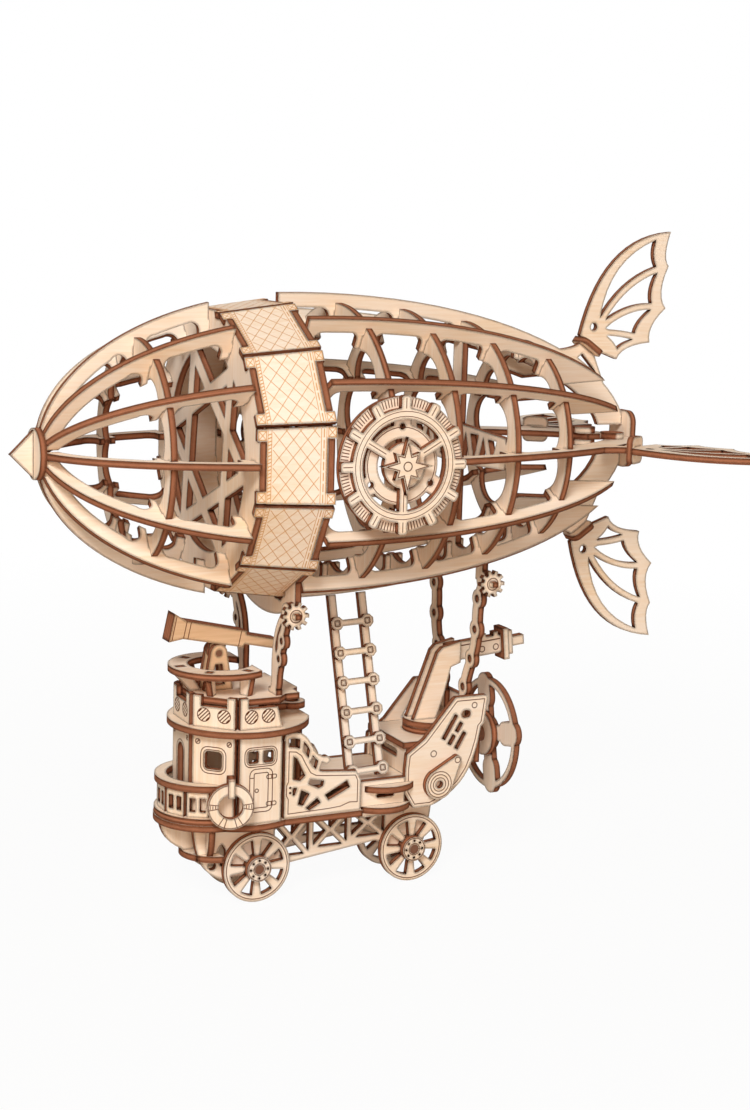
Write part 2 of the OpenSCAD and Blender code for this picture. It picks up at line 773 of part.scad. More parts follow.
ladder_top = [-3, 0.3, hull_z - hull_at(rib_x0) - 0.1];
ladder_aft = 2.2;
rail_w = 2.6;
first_rung = 9.1;
rung_boss = 2.2;
peg_w = 1.5;
ladder_low = (ladder_w + rail_w) / 2 * sin(ladder_aft) + ply * sin(ladder_lean);
ladder_len = (ladder_top[2] - floor_top - slot_gap - ladder_low) / cos(ladder_lean);
last_rung = 2.3;
rung_pitch = (ladder_len - first_rung - last_rung) / (rungs - 1);

// Frame of the ladder: X between the rails, Z up along them, its top at the origin
module at_ladder() {
  translate(ladder_top) rotate([-ladder_lean, -ladder_aft, 0]) children();
}

module ladder_rails() color(birch) at_ladder() {
  for (j = [-1, 1]) translate([j * ladder_w / 2, 0, 0]) {
    sheet_xz(ply / 2) translate([-rail_w / 2, -ladder_len]) square([rail_w, ladder_len]);
    for (i = [0:rungs - 1]) translate([-peg_w / 2, -ply, -first_rung - i * rung_pitch - peg_w / 2]) {
      cube([peg_w, ply + 0.5, peg_w]);
    }
  }
}

module ladder_rungs() color(light_birch) at_ladder() {
  for (i = [0:rungs - 1]) translate([0, 0, -first_rung - i * rung_pitch]) sheet_xz(-ply / 2 - slot_gap) {
    difference() {
      union() {
        translate([-ladder_w / 2, -1]) square([ladder_w, 2]);
        for (j = [-1, 1]) translate([j * ladder_w / 2, 0]) rotate(22.5) circle(rung_boss, $fn = 8);
      }
      for (j = [-1, 1]) translate([j * ladder_w / 2, 0]) square(peg_w + 2 * slot_gap, center = true);
    }
  }
}

// Keel

keel_top = deck_z - slot_gap;
axle_z = wheel_r;
keel_low = 8;
keel_nose = -56;

// Lower edge of the keel between the axles
function keel_edge(x) = 10.4 + 3.6 * (x - front_axle_x - 12) / (rear_axle_x - front_axle_x - 24);

// Cross of bars in a bay of the keel: four triangular openings
module cross_bay(x1, x2, z1, z2) {
  bar = 0.8;
  xm = (x1 + x2) / 2;
  zm = (z1 + z2) / 2;
  polygon([[x1 + 2 * bar, z2], [x2 - 2 * bar, z2], [xm, zm + bar]]);
  polygon([[x1 + 2 * bar, z1], [x2 - 2 * bar, z1], [xm, zm - bar]]);
  polygon([[x1, z1 + bar], [x1, z2 - bar], [xm - 2 * bar, zm]]);
  polygon([[x2, z1 + bar], [x2, z2 - bar], [xm + 2 * bar, zm]]);
}

module keel_2d() {
  nose = bow_curve([keel_nose, keel_top], [keel_nose + 1, 10], [-46.5, keel_low], 12);
  lobe = 6;
  front_tail = bow_curve([front_axle_x + 3, keel_low], [front_axle_x + 7, 9.4],
                         [front_axle_x + 12, keel_edge(front_axle_x + 12)], 6);
  rear_head = bow_curve([rear_axle_x - lobe - 6, 14], [rear_axle_x - lobe, 12.5], [rear_axle_x - 3, keel_low], 6);
  rear_tail = bow_curve([rear_axle_x + 3, keel_low], [rear_axle_x + lobe + 1, 12], [rear_axle_x + lobe + 2, keel_top], 6);
  bays = 3;
  x1 = front_axle_x + 6;
  x2 = rear_axle_x - 8;
  bay = (x2 - x1) / bays;
  difference() {
    polygon(concat(nose, front_tail, rear_head, rear_tail));
    for (i = [0:bays - 1]) {
      right = x1 + (i + 1) * bay - 0.8;
      cross_bay(x1 + i * bay + 0.8, right, keel_edge(right) + 1.5, keel_top - 1.8);
    }
    for (x = [front_axle_x, rear_axle_x]) translate([x, axle_z]) circle(axle_r + run_gap);
    translate([-49.6, 12.4]) circle(1.3);
    translate([-46.5, 15.5]) lens(3, 7);
  }
}

module keel_plates() color(birch) both_sides() sheet_xz(-keel_y) keel_2d();

// Decks and bow

deck_half = side_y + 0.5;
deck_step_x = -4;
stern_half = stern_y - ply - slot_gap;
deck_end_x = rear_axle_x + 4;

module base_deck() color(birch) sheet_xy(deck_z) {
  translate([bow_x, 0]) circle(bow_r);
  translate([tower_x, -deck_half]) square([deck_step_x - tower_x, 2 * deck_half]);
  translate([tower_x, 0]) circle(deck_half + 2);
  translate([deck_step_x - 1, -stern_half]) square([deck_end_x - deck_step_x + 1, 2 * stern_half]);
}

foot_z = 14.5;
foot_x = bow_x + 2.8;
wheel_gap = 0.6;
bow_aft = front_axle_x - wheel_r - wheel_gap;
floor_r = bow_r - 0.2;

// The balcony's floor in front of the tower, and the foot under the bow with slots for the keel
module bow_plates() color(birch) {
  slot_w = ply + 2 * slot_gap;
  keel_end = keel_nose + 1.5;
  sheet_xy(deck_top + slot_gap) difference() {
    translate([bow_x, 0]) circle(floor_r);
    translate([tower_x, 0]) tower_2d(tower_a + slot_gap);
    translate([tower_x - 8.5, -2 * floor_r]) square([4 * floor_r, 4 * floor_r]);
  }
  sheet_xy(foot_z) difference() {
    translate([foot_x, 0]) circle(foot_r);
    translate([bow_aft, -foot_r - 1]) square([2 * foot_r, 2 * foot_r + 2]);
    for (j = [-1, 1]) translate([keel_end, j * keel_y - slot_w / 2]) square([bow_aft - keel_end + 1, slot_w]);
  }
}

// Curved knees between the deck and the foot
module bow_brackets() color(light_birch) {
  low = foot_z + ply + slot_gap;
  high = deck_z - slot_gap;
  for (a = [180, 105, 255]) translate([bow_x, 0, 0]) rotate([0, 0, a]) sheet_xz(0) {
    inner = a == 180 ? 3 : 8.2;
    outer = a == 180 ? 8.2 : 9.8;
    polygon(concat([[inner, low], [outer, low]],
      bow_curve([outer + 0.4, low + 0.6], [bow_r - 2, low + 3.4], [bow_r - 0.9, high], 6), [[inner, high]]));
  }
}

module tower_2d(a) {
  rotate(22.5) circle(a / cos(22.5), $fn = 8);
}

balcony_angles = [122, 151, 180, 209, 238];
balcony_face = rail_r - 1.2;

buoy_r = 7;
buoy_in = 3.7;
buoy_at = [-49.3, -20.5, 35.4];
buoy_turn = 255;
hook_gap = 0.1;

// Round rail of the balcony, with a lug at its port end for the buoy's hook
module balcony_rail() color(birch) sheet_xy(rail_z) difference() {
  union() {
    difference() {
      translate([bow_x, 0]) circle(rail_r);
      translate([bow_x, 0]) circle(rail_r - 3.6);
      translate([tower_x - 8.5, -2 * rail_r]) square([4 * rail_r, 4 * rail_r]);
    }
    translate([buoy_at[0], buoy_at[1]]) rotate(buoy_turn) translate([-ply / 2 - hook_gap - 2.4, 0]) circle(2.4);
  }
  translate([tower_x, 0]) tower_2d(tower_a + slot_gap);
}

// Flat panels with two windows each, between the deck and the rail
module balcony_panels() color(light_birch) {
  floor_top_z = deck_top + slot_gap + ply;
  h = rail_z - floor_top_z - 2 * slot_gap;
  w = 6.6;
  for (a = balcony_angles) translate([bow_x, 0, floor_top_z + slot_gap]) rotate([0, 0, a]) {
    translate([balcony_face - ply, 0, 0]) rotate([90, 0, 90]) linear_extrude(ply) difference() {
      translate([-w / 2, 0]) square([w, h]);
      for (j = [-1, 1]) translate([j * 1.55 - 0.9, 1.8]) square([1.8, h - 3.8]);
    }
  }
}

// Tower

// Walls stand inside the octagon so that their inner edges just meet
wall_half = (tower_a - ply) * tan(22.5) - slot_gap;

module tower_facet(angle, z) {
  translate([tower_x, 0, z]) rotate([0, 0, angle]) translate([tower_a - ply, 0, 0]) {
    rotate([90, 0, 90]) linear_extrude(ply) children();
  }
}

wall_h = storey_z - deck_top - 2 * slot_gap;

// Plain wall with a window: kind 0 is bare, 1 a square window, 2 a pair, 3 an arched door
module wall_face_2d(kind) {
  difference() {
    translate([-wall_half, 0]) square([2 * wall_half, wall_h]);
    if (kind == 1) translate([0, wall_h - 7.8]) round_rect(5.6, 5.6, 1.2);
    if (kind == 2) for (j = [-1, 1]) translate([j * 2.4, wall_h - 6.5]) round_rect(3.3, 3.8, 0.7);
    if (kind == 3) {
      translate([-2.6, 3]) square([5.2, wall_h - 10.6]);
      translate([0, wall_h - 7.6]) circle(2.6);
    }
  }
}

wall_kinds = [3, 0, 2, 1, 3, 1, 2, 0];

module tower_walls() color(light_birch) {
  for (k = [0, 2, 3, 4, 5, 6]) tower_facet(k * 45, deck_top + slot_gap) wall_face_2d(wall_kinds[k]);
}

module tower_ring() color(birch) sheet_xy(storey_z) translate([tower_x, 0]) difference() {
  circle(storey_r);
  translate([tower_a + 1.5, -storey_r]) square([storey_r, 2 * storey_r]);
}

// Crenellated walls round the front of the upper storey
module battlements() color(light_birch) {
  low_h = top_z - storey_top - slot_gap - 0.4;
  high_h = low_h + 3.2;
  merlon = 2.6;
  for (a = [135, 180, 225]) tower_facet(a, storey_top + slot_gap) {
    translate([-wall_half, 0]) square([2 * wall_half, low_h]);
    for (j = [-1, 1]) translate([j > 0 ? wall_half - merlon : -wall_half, 0]) square([merlon, high_h]);
  }
  // The two at the sides have a merlon in front and a slope behind
  slope = 1.6;
  for (a = [90, 270]) tower_facet(a, storey_top + slot_gap) {
    aft = a == 90 ? -1 : 1;
    polygon([[-aft * wall_half, 0], [aft * wall_half, 0], [aft * (wall_half - slope), low_h], [-aft * wall_half, low_h]]);
    translate([aft > 0 ? -wall_half : wall_half - merlon, 0]) square([merlon, high_h]);
  }
}

deck_aft_x = tower_x + 14.4;

module top_deck() color(birch) sheet_xy(top_z) {
  translate([tower_x, 0]) tower_2d(tower_a - ply - slot_gap);
  translate([tower_x, -13.6]) square([deck_aft_x - tower_x, 27.2]);
}

module lookout() color(birch) sheet_xy(lookout_z) difference() {
  translate([lookout_x, 0]) circle(lookout_r);
  translate([lookout_x, 0]) circle(lookout_r - 6);
  translate([lookout_x + lookout_aft, -2 * lookout_r]) square([2 * lookout_r, 4 * lookout_r]);
  for (a = lookout_angles) translate([lookout_x, 0]) rotate(a) translate([lookout_r - 4.4, -ply / 2 - slot_gap]) {
    square([2.8, ply + 2 * slot_gap]);
  }
}

lookout_angles = [70, 125, 180, 235, 290];
lookout_aft = 8.4;

// Way from the lookout's middle to the edge of the deck below it
function deck_reach(a) = min([for (f = [90, 135, 180, 225, 270])
  if (cos(a - f) > 0.1) (tower_a - ply - slot_gap - (lookout_x - tower_x) * cos(f)) / cos(a - f)]);

// Tapered brackets with a tongue in the ring above
module lookout_brackets() color(birch) {
  low = top_deck_z + slot_gap;
  high = lookout_z - slot_gap;
  for (a = lookout_angles) translate([lookout_x, 0, 0]) rotate([0, 0, a]) sheet_xz(0) {
    out = min(deck_reach(a) - 0.4, lookout_r - 2);
    polygon([[out - 3.5, low], [out, low], [lookout_r - 0.8, high], [lookout_r - 5.8, high]]);
    translate([lookout_r - 4.35, high - 0.5]) square([2.7, ply + 0.5]);
  }
}

// Post and floor that carry the tower's aft side, with a ring at its end
module mooring_eye() color(birch) {
  eye_z = 58.6;
  eye_x = tower_x + tower_a - 0.8;
  difference() {
    union() {
      sheet_xy(eye_z) {
        translate([eye_x, 0]) circle(4.2);
        translate([tower_x + 8, -3]) square([eye_x - tower_x - 8, 6]);
      }
      translate([tower_x + 8, -3, storey_top + slot_gap]) cube([ply, 6, top_z - storey_top - 2 * slot_gap]);
    }
    translate([eye_x, 0, eye_z - 1]) cylinder(h = ply + 2, r = eye_r);
  }
}

eye_r = 2.2;

// Frame of the buoy: X away from the hull, Z up
module at_buoy() {
  translate(buoy_at) rotate([0, 0, buoy_turn]) children();
}

// Ring buoy that hangs at the end of the balcony rail
module life_buoy() color(light_birch) at_buoy() rotate([90, 0, 90]) linear_extrude(ply, center = true) difference() {
  circle(buoy_r);
  circle(buoy_in);
}

// Hook over the top of the buoy, standing on the rail
module buoy_hook() color(birch) at_buoy() sheet_xz(0) {
  back = -ply / 2 - hook_gap;
  front = ply / 2 + hook_gap;
  over = buoy_r + hook_gap;
  base = rail_z + ply + slot_gap - buoy_at[2];
  polygon([[back - 2, base], [back, base], [back, over], [front, over], [front, buoy_in - 0.6],
           [front + 1.6, buoy_in - 0.6], [front + 1.6, over + 1.2], [front + 1, over + 1.8],
           [back - 1, over + 1.8], [back - 2, over + 0.8]]);
}

// Telescope

scope_half = 1.5 * ply;
lug_half = ply / 2;
stand_in = lug_half + 0.15;
pin_r = 1;
stand_top_r = 2.7;

// Two A-shaped plates astride the telescope's lug
module telescope_stand() color(birch) both_sides() {
  foot_half = 4.6;
  base = top_deck_z + slot_gap;
  difference() {
    translate([scope_x, 0, 0]) sheet_xz(-stand_in - ply / 2) difference() {
      union() {
        polygon([[-foot_half, base], [foot_half, base], [stand_top_r, scope_z], [-stand_top_r, scope_z]]);
        translate([0, scope_z]) circle(stand_top_r);
      }
      polygon([[-2, base + 1.8], [2, base + 1.8], [1.1, scope_z - 3.4], [-1.1, scope_z - 3.4]]);
    }
    translate([scope_x, 0, scope_z]) rotate([90, 0, 0]) cylinder(h = 20, r = pin_r + slot_gap / 2, center = true);
  }
}

// Pins that the telescope and the gun turn on
module pivot_pins() color(burnt) {
  pin_len = 2 * (stand_in + ply);
  translate([scope_x, 0, scope_z]) rotate([90, 0, 0]) cylinder(h = pin_len, r = pin_r, center = true);
  translate([gun_x, 0, platform_z - 1]) cylinder(h = 3 * ply + 1, r = gun_pin_r);
}

// Drawn along the tube with the pivot at the origin
scope_up = 3;
module telescope_tube_2d() {
  mid = scope_up + 2.4;
  mouth = 4.4;
  neck = 2.75;
  tail = 1.5;
  polygon([[-16.6, mid - mouth], [-12.4, mid - neck], [-11.6, mid - neck], [7.6, mid - neck + 0.2],
           [7.6, mid - tail], [18.4, mid - tail], [18.4, mid + tail], [7.6, mid + tail],
           [7.6, mid + neck - 0.2], [-11.6, mid + neck], [-12.4, mid + neck], [-16.6, mid + mouth]]);
}

module telescope() color(shade_birch) translate([scope_x, 0, scope_z]) rotate([0, scope_tilt, 0]) {
  difference() {
    union() {
      for (j = [-1, 0, 1]) sheet_xz(j * ply) telescope_tube_2d();
      sheet_xz(0) {
        circle(2.6);
        translate([-2.6, 0]) square([5.2, scope_up + 1]);
      }
    }
    rotate([90, 0, 0]) cylinder(h = 20, r = pin_r + run_gap, center = true);
  }
}

// Sides amidships

side_x1 = tower_x + tower_a * tan(22.5) + 0.9;
side_x2 = deck_step_x - 0.6;

// Lattice side with an S-shaped top and a scrolled handrail above it
module side_2d() {
  base = deck_top + slot_gap;
  flat_z = 40.9;
  x0 = side_x1;
  rail = concat(bow_curve([x0, 54.4], [x0 + 5.6, 56.6], [x0 + 8.4, 51.4], 8),
                bow_curve([x0 + 9, 50.2], [x0 + 11, 46.6], [x0 + 14.2, 46.4], 6));
  curve = concat(bow_curve([x0, 50.6], [x0 + 5.6, 51], [x0 + 7.6, 46.8], 8),
                 bow_curve([x0 + 8, 46], [x0 + 9.6, 42.2], [x0 + 13.4, 41.9], 6));
  n = len(curve) - 1;
  difference() {
    union() {
      polygon(concat([[x0, base]], curve, [[side_x2 - 1.6, flat_z], [side_x2, 38], [side_x2, base]]));
      polygon(concat(rail, [for (i = [n:-1:0]) rail[i] - [0.5, 1.8]]));
      translate([x0 + 13.8, 45.4]) circle(1.3);
      for (i = [0, 4, 8, 12]) polygon([rail[i] - [0, 1], rail[i] + [1.3, -1.4], curve[i] + [1.3, -1.2], curve[i] - [0, 1]]);
    }
    polygon([[x0 + 2.8, 47.6], [x0 + 4, 46.8], [x0 + 6.8, 41.2], [x0 + 5.2, 39.7], [x0 + 2.8, 40.3]]);
    polygon([[x0 + 8.4, 39.9], [x0 + 13.2, 38.9], [x0 + 12.8, 37.3], [x0 + 11.4, 36.7], [x0 + 8, 38.4]]);
    polygon([[x0 + 2.8, 37.7], [x0 + 4.2, 37.5], [x0 + 3.4, 35.3], [x0 + 2.8, 35.3]]);
    polygon([[x0 + 5.6, 36.7], [x0 + 8.4, 35.3], [x0 + 6.2, 31.7], [x0 + 4.6, 32.3]]);
    polygon([[x0 + 11, 33.7], [x0 + 12.2, 32.1], [x0 + 8.4, 30], [x0 + 7.2, 30.9]]);
    polygon([[x0 + 21, 38.2], [x0 + 22, 36], [x0 + 14.8, 32.6], [x0 + 13.6, 34.4]]);
  }
}

module side_panels() color(light_birch) both_sides() sheet_xz(-side_y + ply / 2) side_2d();

bulwark_x1 = deck_step_x + slot_gap;
bulwark_x2 = stern_x1 - slot_gap;
bulwark_top = floor_top;
bulwark_low = deck_z - 1.4;

module bulwarks() color(light_birch) both_sides() sheet_xz(-stern_y + ply / 2) difference() {
  translate([bulwark_x1, bulwark_low]) square([bulwark_x2 - bulwark_x1, bulwark_top - bulwark_low]);
  translate([(bulwark_x1 + bulwark_x2) / 2 + 1, 31.4]) round_rect(6, 1.2, 0.5);
}

step_chord = 17;
step_sag = 4.2;
step_levels = [26.5, 33];
step_shift = [-0.6, 0.6];

// Rounded steps outside the bulwarks
module steps() color(birch) both_sides() for (i = [0, 1]) {
  r = (step_chord * step_chord / 4 + step_sag * step_sag) / (2 * step_sag);
  xm = (side_x2 + stern_x1) / 2 + 2 + step_shift[i];
  sheet_xy(step_levels[i]) intersection() {
    translate([xm, -stern_y - slot_gap - step_sag + r]) circle(r);
    translate([xm - step_chord, -stern_y - slot_gap - r]) square([2 * step_chord, r]);
  }
}

module mid_deck() color(birch) sheet_xy(floor_z) {
  w = stern_y - ply - slot_gap;
  translate([tower_x + tower_a + slot_gap, -w]) square([seat_x - slot_gap - tower_x - tower_a - slot_gap, 2 * w]);
}

// Stern

seat_x = stern_x1 + 1;
transom_x = 33.4;
stern_low = 26;
frame_half = stern_y - ply - slot_gap;

module stern_2d() {
  difference() {
    polygon(concat([[stern_x1, 38.8], [stern_x1 + 0.4, 43.6], [stern_x1 + 6.4, 48], [28.4, 60.2], [29, 60.7],
                    [39.8, 60.7], [40.6, 60]],
      [[39.4, 51.4], [38.4, 50.6]],
      bow_curve([38.2, 49.6], [36.5, 38], [31.4, 32.6], 6),
      bow_curve([31, 32.2], [26, 27.4], [21, stern_low], 6),
      [[15, stern_low], [stern_x1, 31]]));
    translate([32.8, 55]) round_rect(3.2, 2.4, 1.1);
    for (p = [[27.1, 51.2, 8.8], [30.4, 50.9, 3.4], [27.9, 47, 3.4], [31, 46.5, 6]]) {
      translate([p[0], p[1]]) rotate(-30) square([1.4, p[2]], center = true);
    }
  }
}

module stern_panels() color(light_birch) both_sides() sheet_xz(-stern_y + ply / 2) stern_2d();

crank_x = 23;
crank_z = 33.4;

// Teardrop cover over the crank on each stern panel
module crank_covers() color(light_birch) both_sides() {
  difference() {
    translate([crank_x, 0, crank_z]) sheet_xz(-stern_y - ply / 2 - slot_gap) {
      circle(4.9);
      translate([6.2, 7.4]) circle(1.5);
      polygon([[-3.2, 3.8], [5.2, 8.5], [7.5, 6.7], [4.8, -1.2]]);
    }
    translate([crank_x, 0, crank_z]) rotate([90, 0, 0]) cylinder(h = 80, r = 1.2, center = true);
  }
}

// Wall under the front of the platform and the two walls that carry the shaft
module stern_frames() color(birch) {
  sheet_yz(seat_x) difference() {
    translate([-frame_half, deck_top + slot_gap]) square([2 * frame_half, platform_z - deck_top - 2 * slot_gap]);
    translate([0, 42]) round_rect(13, 2.4, 0.6);
  }
  sheet_yz(transom_x) difference() {
    translate([-frame_half, 36]) square([2 * frame_half, platform_top - 36]);
    translate([0, prop_z]) circle(axle_r + run_gap);
  }
  sheet_yz(back_x) difference() {
    translate([-frame_half, 38]) square([2 * frame_half, 20]);
    translate([0, prop_z]) circle(axle_r + run_gap);
    translate([0, 53]) round_rect(8, 4, 1);
  }
}

back_x = rear_strut_x + ply + slot_gap;

gun_pin_r = 1.5;

// Deck of the gun with the fixed disc of the turntable
module gun_platform() color(birch) {
  difference() {
    union() {
      sheet_xy(platform_z) translate([seat_x - 0.9, -frame_half]) {
        square([transom_x - slot_gap - seat_x + 0.9, 2 * frame_half]);
      }
      translate([gun_x, 0, platform_top]) cylinder(h = ply - 0.1, r = table_r);
    }
    translate([gun_x, 0, platform_z - 2]) cylinder(h = 20, r = gun_pin_r + slot_gap / 2);
  }
}

table_z = platform_top + ply;
cheek_y = 3.4;

module turntable() color(birch) {
  difference() {
    translate([gun_x, 0, table_z]) cylinder(h = ply, r = table_r);
    translate([gun_x, 0, table_z - 1]) cylinder(h = ply + 2, r = gun_pin_r + run_gap);
  }
}

// Leaning side plates that carry the barrel
module gun_cheeks() color(light_birch) both_sides() {
  base = table_z + ply + slot_gap;
  sheet_xz(-cheek_y + ply / 2) polygon([[gun_x - 7.4, base], [gun_x + 0.6, base], [gun_x + 3.4, base + 8],
    [gun_x + 5.6, barrel_z - 3.6], [gun_x + 9, barrel_z - 2.4], [gun_x + 9, barrel_z + 4.6],
    [gun_x + 2.2, barrel_z + 3], [gun_x + 0.6, barrel_z + 1.4]]);
}

// Barrel with two square collars at the muzzle
module gun_barrel() color(light_birch) translate([gun_x, 0, barrel_z]) rotate([0, -barrel_tilt, 0]) {
  half = cheek_y - ply - slot_gap;
  tail = 5;
  flange = 25;
  translate([tail, -half, -3]) cube([flange - tail, 2 * half, 6]);
  for (x = [flange - 7, flange - 2.6]) translate([x, -half, 3]) cube([1.6, 2 * half, 1.2]);
  translate([flange, -half - 1.8, -5.2]) cube([ply, 2 * half + 3.6, 10.4]);
  translate([flange + ply, -half - 0.6, -4]) cube([ply, 2 * half + 1.2, 8]);
  translate([flange + 2 * ply, -half, -1.6]) cube([4.6, 2 * half, 3.2]);
}

// Propeller

prop_turn = 168;
prop_hub_r = 7.2;

// Ringed propeller with paddle blades and a hub disc in front of it
module propeller() color(shade_birch) translate([0, 0, prop_z]) difference() {
  union() {
    sheet_yz(prop_x - ply / 2) {
      ring_w = 2;
      blade_r = 4;
      difference() {
        circle(prop_ring_r);
        circle(prop_ring_r - ring_w);
      }
      circle(prop_hub_r - 1.6);
      for (k = [0:prop_blades - 1]) rotate(prop_turn + k * 360 / prop_blades) {
        translate([0, -2.6]) square([prop_tip_r - blade_r, 5.2]);
        translate([prop_tip_r - blade_r, 0]) circle(blade_r);
        translate([prop_tip_r - blade_r - 4, -blade_r]) square([4, 2 * blade_r]);
        translate([prop_tip_r - blade_r - 4, 0]) circle(blade_r);
      }
    }
    sheet_yz(prop_x - 1.5 * ply) circle(prop_hub_r);
  }
  translate([prop_x - 5, 0, 0]) rotate([0, 90, 0]) cylinder(h = 10, r = axle_r + slot_gap / 2);
}

module propeller_shaft() color(burnt) {
  x0 = transom_x + slot_gap;
  collar_x = back_x + ply + 0.3;
  translate([x0, 0, prop_z]) rotate([0, 90, 0]) cylinder(h = prop_x + 1.5 * ply - x0, r = axle_r);
  translate([collar_x, 0, prop_z]) rotate([0, 90, 0]) {
    cylinder(h = prop_x - 1.5 * ply - slot_gap - collar_x, r = 2.6);
  }
}

// Wheels

hub_cap_r = 4;

// Wheel with eight spokes that widen towards the rim
module wheel_2d() {
  spokes = 8;
  rim = 2.1;
  hub = 3.4;
  difference() {
    circle(wheel_r);
    for (k = [0:spokes - 1]) rotate((k + 0.5) * 360 / spokes) difference() {
      intersection() {
        circle(wheel_r - rim);
        polygon([[hub + 0.5, -0.6], [wheel_r - 1, -2.3], [wheel_r - 1, 2.3], [hub + 0.5, 0.6]]);
      }
      circle(hub);
    }
    circle(axle_r + slot_gap / 2);
  }
}

module hub_cap_2d() {
  difference() {
    circle(hub_cap_r);
    circle(axle_r + slot_gap / 2);
    for (k = [0:7]) rotate(k * 45) translate([2.8, 0]) circle(0.4);
  }
}

module wheel_pair(x) {
  both_sides() translate([x, 0, axle_z]) {
    sheet_xz(-wheel_y + ply / 2) wheel_2d();
    sheet_xz(-wheel_y - ply / 2 - slot_gap) hub_cap_2d();
  }
}

module axle(x) {
  len = 2 * (wheel_y + ply);
  translate([x, 0, axle_z]) rotate([90, 0, 0]) cylinder(h = len, r = axle_r, center = true);
}

module front_wheels() color(light_birch) wheel_pair(front_axle_x);
module rear_wheels() color(light_birch) wheel_pair(rear_axle_x);
module front_axle() color(burnt) axle(front_axle_x);
module rear_axle() color(burnt) axle(rear_axle_x);

nose_plate();
end_discs();
front_stringers();
front_rib();
front_bulkhead();
band_panels();
rear_bulkhead();
rear_stringers();
fin_stringers();
rib_1();
rib_2();
rib_3();
rib_4();
vertical_fins();
horizontal_fins();
fin_fittings();
dials();
helms();
helm_bosses();
front_struts();
rear_struts();
strut_gears();
ladder_rails();
ladder_rungs();
keel_plates();
base_deck();
bow_plates();
bow_brackets();
balcony_rail();
balcony_panels();
tower_walls();
tower_ring();
battlements();
top_deck();
lookout();
lookout_brackets();
life_buoy();
buoy_hook();
telescope_stand();
pivot_pins();
telescope();
mooring_eye();
side_panels();
bulwarks();
steps();
mid_deck();
stern_panels();
crank_covers();
stern_frames();
gun_platform();
turntable();
gun_cheeks();
gun_barrel();
propeller();
propeller_shaft();
front_wheels();
front_axle();
rear_wheels();
rear_axle();
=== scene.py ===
"""Looks of a laser-cut plywood airship: birch faces, burnt edges and engraved lines."""
import math

import bmesh
import bpy
from bpy.props import FloatProperty, FloatVectorProperty, IntProperty, PointerProperty
from mathutils import Matrix, Vector


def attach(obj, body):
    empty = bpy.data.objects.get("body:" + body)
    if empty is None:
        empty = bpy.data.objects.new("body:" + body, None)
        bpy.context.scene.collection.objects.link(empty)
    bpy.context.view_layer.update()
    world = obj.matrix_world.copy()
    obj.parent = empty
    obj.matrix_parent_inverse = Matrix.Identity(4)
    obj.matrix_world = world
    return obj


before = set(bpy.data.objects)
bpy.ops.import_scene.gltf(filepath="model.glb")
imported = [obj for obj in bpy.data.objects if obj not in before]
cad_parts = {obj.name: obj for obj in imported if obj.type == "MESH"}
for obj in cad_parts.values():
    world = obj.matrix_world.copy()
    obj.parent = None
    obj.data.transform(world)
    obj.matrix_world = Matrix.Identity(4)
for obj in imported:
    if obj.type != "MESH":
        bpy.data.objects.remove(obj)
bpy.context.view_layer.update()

bl_info = {
    "name": "Plywood Airship",
    "version": (1, 0, 0),
    "blender": (4, 5, 0),
    "location": "View3D > Sidebar > Airship",
    "description": "Dresses a laser-cut plywood airship with burnt edges and engraved lines",
    "category": "Object",
}

MM = 0.001

# Sizes of the airship in millimetres, as the part's source has them
PLY = 2.0
SLOT_GAP = 0.05
HULL_R = 46.6
HULL_Z = 139.7
NOSE_LEN = 81.0
TAIL_LEN = 118.0
MID_X = -21.4
RIB_X = (-9.2, 12.5, 34.2, 55.9)
BAND_X = -48.5
BAND_LEN = 17.5
BAND_SINK = 4.5
DIAL_SINK = 1.95
FIN_TILT = math.radians(34.5)
PANELS = 12
TOWER_X = -39.0
TOWER_A = 18.6
DECK_TOP = 28.2
STOREY_Z = 55.6
BOW_X = -48.8
WHEEL_R = 11.0
WHEEL_Y = 9.4
AXLES_X = {"front": -35.7, "rear": 17.7}
SIDE_Y = 17.0
SIDE_X1 = TOWER_X + TOWER_A * math.tan(math.radians(22.5)) + 0.9
SIDE_X2 = -4.6
STERN_Y = 14.9
STERN_X = 11.8
CRANK = (23.0, 33.4)
BUOY_AT = (-49.3, -20.5, 35.4)
BUOY_TURN = math.radians(255)
BUOY_R = 7.0
BUOY_IN = 3.7
LADDER_LEAN = math.radians(13)
LADDER_AFT = math.radians(2.2)
LADDER_W = 10.3
RAIL_W = 2.6
LADDER_RUNGS = 6
FIRST_RUNG = 9.1
LAST_RUNG = 2.3
FLOOR_TOP = 36.5
GUN_X = 27.5
BARREL_Z = 71.2
BARREL_TILT = math.radians(5.5)
CHEEK_Y = 3.4
SCOPE_AT = (-46.8, 0.0, 78.0)
SCOPE_TILT = math.radians(12)
SCOPE_MID = 5.4
SCOPE_NECK = 2.75
GEAR_Y_FRONT = 21.0
GEAR_Y_REAR = 17.0
HEAD_R = 3.2


def hull_at(x):
    """Radius of the hull's outline at x."""
    half = NOSE_LEN if x < MID_X else TAIL_LEN
    return HULL_R * math.sqrt(1 - ((x - MID_X) / half) ** 2)


